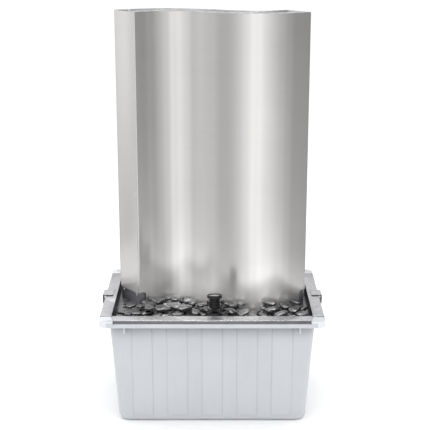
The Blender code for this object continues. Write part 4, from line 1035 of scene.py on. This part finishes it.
def pebble_print(axes, rotation):
    """Cell offsets under a pebble with its lower and upper surface there."""
    basis = np.array(rotation)
    form = basis @ np.diag(1 / (axes * 1.02) ** 2) @ basis.T
    count = int(axes[0] / CELL) + 2
    steps = np.arange(-count, count + 1)
    ix, iy = np.meshgrid(steps, steps, indexing="ij")
    dx, dy = ix * CELL, iy * CELL
    b = form[0, 2] * dx + form[1, 2] * dy
    c = form[0, 0] * dx ** 2 + 2 * form[0, 1] * dx * dy + form[1, 1] * dy ** 2 - 1
    inside = b * b - form[2, 2] * c
    keep = inside > 0
    root = np.sqrt(inside[keep])
    b = b[keep]
    return ix[keep], iy[keep], (-b - root) / form[2, 2], (-b + root) / form[2, 2]


def settle(height, ceiling, i, j, prints):
    """Lowest centre height of a pebble at a cell, or None where it doesn't fit."""
    ix, iy, low, high = prints
    rows, columns = ix + i, iy + j
    for cells, count in zip((rows, columns), height.shape):
        if cells.min() < 0 or cells.max() >= count:
            return None
    centre = (height[rows, columns] - low).max()
    if (centre + high > ceiling[rows, columns]).any():
        return None
    return centre


def pack_pebbles():
    """Drop pebbles one at a time into the lowest of a few random places until no more fit."""
    rng = np.random.default_rng(PEBBLE_SEED)
    gx, gy = tray_cells()
    ceiling = pebble_ceiling(gx, gy)
    height = np.full(gx.shape, FLOOR_TOP + 0.0005)
    free = np.argwhere(ceiling > FLOOR_TOP + 0.01)
    pebbles = []
    misses = 0
    while misses < PATIENCE:
        axes, rotation = pebble_form(rng, misses > 0 or len(pebbles) > UNDER_LAYERS)
        prints = pebble_print(axes, rotation)
        best = None
        for i, j in free[rng.integers(0, len(free), TRIES)]:
            centre = settle(height, ceiling, i, j, prints)
            if centre is not None and (best is None or centre < best[0]):
                best = (centre, i, j)
        if best is None:
            misses += 1
            continue
        centre, i, j = best
        ix, iy, _, high = prints
        height[ix + i, iy + j] = np.maximum(height[ix + i, iy + j], centre + high)
        pebbles.append((Vector((gx[i, j], gy[i, j], centre)), axes, rotation))
    print("pebbles:", len(pebbles))
    return pebbles


def bed_of(place):
    """Which of the four beds a pebble belongs to."""
    if wall_place(place.x, place.y)[1] < 0:
        return "front_left" if place.x < LAMP.x + 0.018 else "front_right"
    return "rear_left" if place.x < 0 else "rear_right"


def add_pebble(bm, tone_and_shade_layer, pebble, number):
    """One tumbled stone: a flattened ball, dented and worn by smooth noise, with painted shade towards its
    underside.
    """
    place, axes, rotation = pebble
    sphere = bmesh.ops.create_icosphere(bm, subdivisions=4 if place.z > 0.285 else 3, radius=1.0)
    offset = Vector((number * 3.7, number * 1.9, number * 0.7))
    rng = random.Random(number)
    shade = rng.random() ** 1.6
    boxy = rng.uniform(0.62, 0.86)
    for vert in sphere["verts"]:
        d = vert.co.normalized()
        shaped = Vector([math.copysign(abs(c) ** boxy, c) for c in d])
        shaped /= max(1.0, shaped.length / 1.12)
        dent = 0.5 + 0.5 * noise.noise(d * 1.1 + offset)
        wear = 0.5 + 0.5 * noise.noise(d * 2.6 + offset * 1.7)
        shaped *= 1.0 - DENT_SHARE * dent - WEAR_SHARE * wear
        reach = rotation @ Vector([c * a for c, a in zip(shaped, axes)])
        vert.co = place + reach
        # painted shade: each stone darker towards its underside, on top of its own random tone
        top = max(0.0, min(1.0, 0.35 + reach.z / axes[2]))
        vert[tone_and_shade_layer] = shade * (0.15 + 0.85 * top)


def build_pebbles():
    """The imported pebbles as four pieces, one for each bed of the CAD model."""
    beds = {}
    for number, pebble in enumerate(pack_pebbles()):
        beds.setdefault(bed_of(pebble[0]), []).append((number, pebble))
    for name, members in sorted(beds.items()):
        bm = bmesh.new()
        tone_and_shade_layer = bm.verts.layers.float.new("pebble_tone_and_shade")
        for number, pebble in members:
            add_pebble(bm, tone_and_shade_layer, pebble, number)
        item = plain_object("pebbles_" + name + "_finished", bm)
        item.data.shade_smooth()
        dress(item, "pebble_stone", "pebbles_" + name)


# ---- studio

# Reflector cards round the object: direction (degrees, 0 towards the camera, + to its right), then how
# bright each is at the floor and at its top.
CARDS = [
    (-180, 0.75, 0.70), (-135, 0.80, 1.00), (-102, 0.42, 1.46), (-85, 0.84, 0.92), (-68, 0.89, 0.80),
    (-50, 0.85, 0.76), (-36, 0.89, 0.84), (-24, 1.15, 1.12), (-14, 1.42, 1.42), (-6, 1.58, 1.56),
    (2, 1.58, 1.56), (10, 1.31, 1.26), (20, 0.86, 0.72), (32, 0.60, 0.36), (44, 0.45, 0.17),
    (80, 0.45, 0.17), (110, 0.40, 0.22), (140, 0.80, 0.75), (180, 0.75, 0.70),
]
CARD_RADIUS = 1.25
CARD_LOW = 0.002
CARD_HEIGHT = 2.0
CARD_STEPS = 180


def make_glow():
    """Light as strong as the mesh's own glow."""
    material = bpy.data.materials.new("reflector_cards")
    material.use_nodes = True
    tree = material.node_tree
    tree.nodes.remove(tree.nodes["Principled BSDF"])
    shine = add_node(tree, "Emission", {"Strength": attribute(tree, "glow")["Fac"]})
    fill(tree, tree.nodes["Material Output"], {"Surface": shine.outputs["Emission"]})
    return material


def build_cards():
    """A ring of softly graded reflector cards that only shiny surfaces see."""
    bm = bmesh.new()
    glow = bm.verts.layers.float.new("glow")
    rows = []
    for i in range(CARD_STEPS + 1):
        angle = -180 + 360 // CARD_STEPS * i
        low, high = between(CARDS, angle)
        turn = math.radians(angle)
        column = []
        for share in (0.0, 0.25, 0.5, 1.0):
            z = CARD_LOW + CARD_HEIGHT * share
            vert = bm.verts.new((CARD_RADIUS * math.sin(turn), -CARD_RADIUS * math.cos(turn), z))
            vert[glow] = low + (high - low) * min(1.0, share * 2.2)
            column.append(vert)
        rows.append(column)
    for a, b in zip(rows, rows[1:]):
        for k in range(3):
            bm.faces.new((a[k], b[k], b[k + 1], a[k + 1]))
    cards = plain_object("reflector_cards", bm)
    cards.data.materials.append(make_glow())
    cards.visible_camera = False
    cards.visible_diffuse = False
    cards.visible_shadow = False
    cards.visible_transmission = False


def build_floor():
    bm = bmesh.new()
    bmesh.ops.create_grid(bm, x_segments=1, y_segments=1, size=30.0)
    floor = link_mesh("studio_floor", bm)
    tree, shader = new_material("studio_floor", WHITE, 0.9, {"Specular IOR Level": 0.0})
    paper = noise_value(tree, 30.0, 3.0)
    fill(tree, shader, {"Base Color": tint(tree, paper, (0.965, 0.965, 0.965), (0.98, 0.98, 0.98))})
    floor.data.materials.append(MATERIALS["studio_floor"])


def add_light(name, location, target, size, power):
    light = bpy.data.lights.new(name, "AREA")
    light.shape = "RECTANGLE"
    light.size, light.size_y = size
    light.energy = power
    item = add_object(name, light)
    item.location = location
    item.rotation_euler = (Vector(target) - Vector(location)).to_track_quat("-Z", "Y").to_euler()
    item.visible_camera = False
    return item


# Weak lights for the wall's lower edge: place, target, size and watts. The last one is for its left end.
BOUNCE_LIGHTS = [
    ((-0.090, -0.100, 0.340), (-0.090, 0.1, 0.340), (0.14, 0.03), 0.28),
    ((0.125, -0.160, 0.330), (0.125, 0.1, 0.330), (0.18, 0.03), 0.12),
    ((0.060, -0.115, 0.332), (0.060, 0.1, 0.332), (0.035, 0.03), 0.03),
    ((-0.272, -0.075, 0.328), (-0.215, -0.01, 0.312), (0.05, 0.015), 0.045),
]


def build_studio():
    build_floor()
    build_cards()
    world = bpy.data.worlds.new("studio")
    bpy.context.scene.world = world
    world.use_nodes = True
    sky = world.node_tree.nodes["Background"].inputs
    sky["Color"].default_value = (0.98, 0.99, 1.0, 1.0)
    sky["Strength"].default_value = 1.08
    add_light("top_softbox", (0.0, -0.2, 3.0), (0, 0, 0.3), (3.4, 3.0), 38.0)
    for setting in BOUNCE_LIGHTS:
        add_light("bounce_light", *setting).visible_glossy = False
    for x in (-0.9, 0.0, 0.9):
        strip = add_light("glint_strip", (x, -0.75, 2.2), (x * 0.3, -0.1, 0.3), (0.22, 1.0), 12.0)
        strip.visible_diffuse = False
    bpy.context.scene.view_settings.view_transform = "Standard"


def build_camera():
    """A camera in front of the object that looks down on it, as the photographer's does."""
    data = bpy.data.cameras.new("camera")
    data.lens = 89.13
    data.sensor_width = 36.0
    camera = add_object("camera", data)
    camera.location = (0.0076, -2.8514, 1.3216)
    camera.rotation_euler = (math.radians(74.62), 0.0, 0.0)
    bpy.context.scene.camera = camera


make_materials()
build_wall()
build_foot_screws()
build_basin()
build_water_supply()
build_spotlight()
build_pebbles()
build_studio()
build_camera()
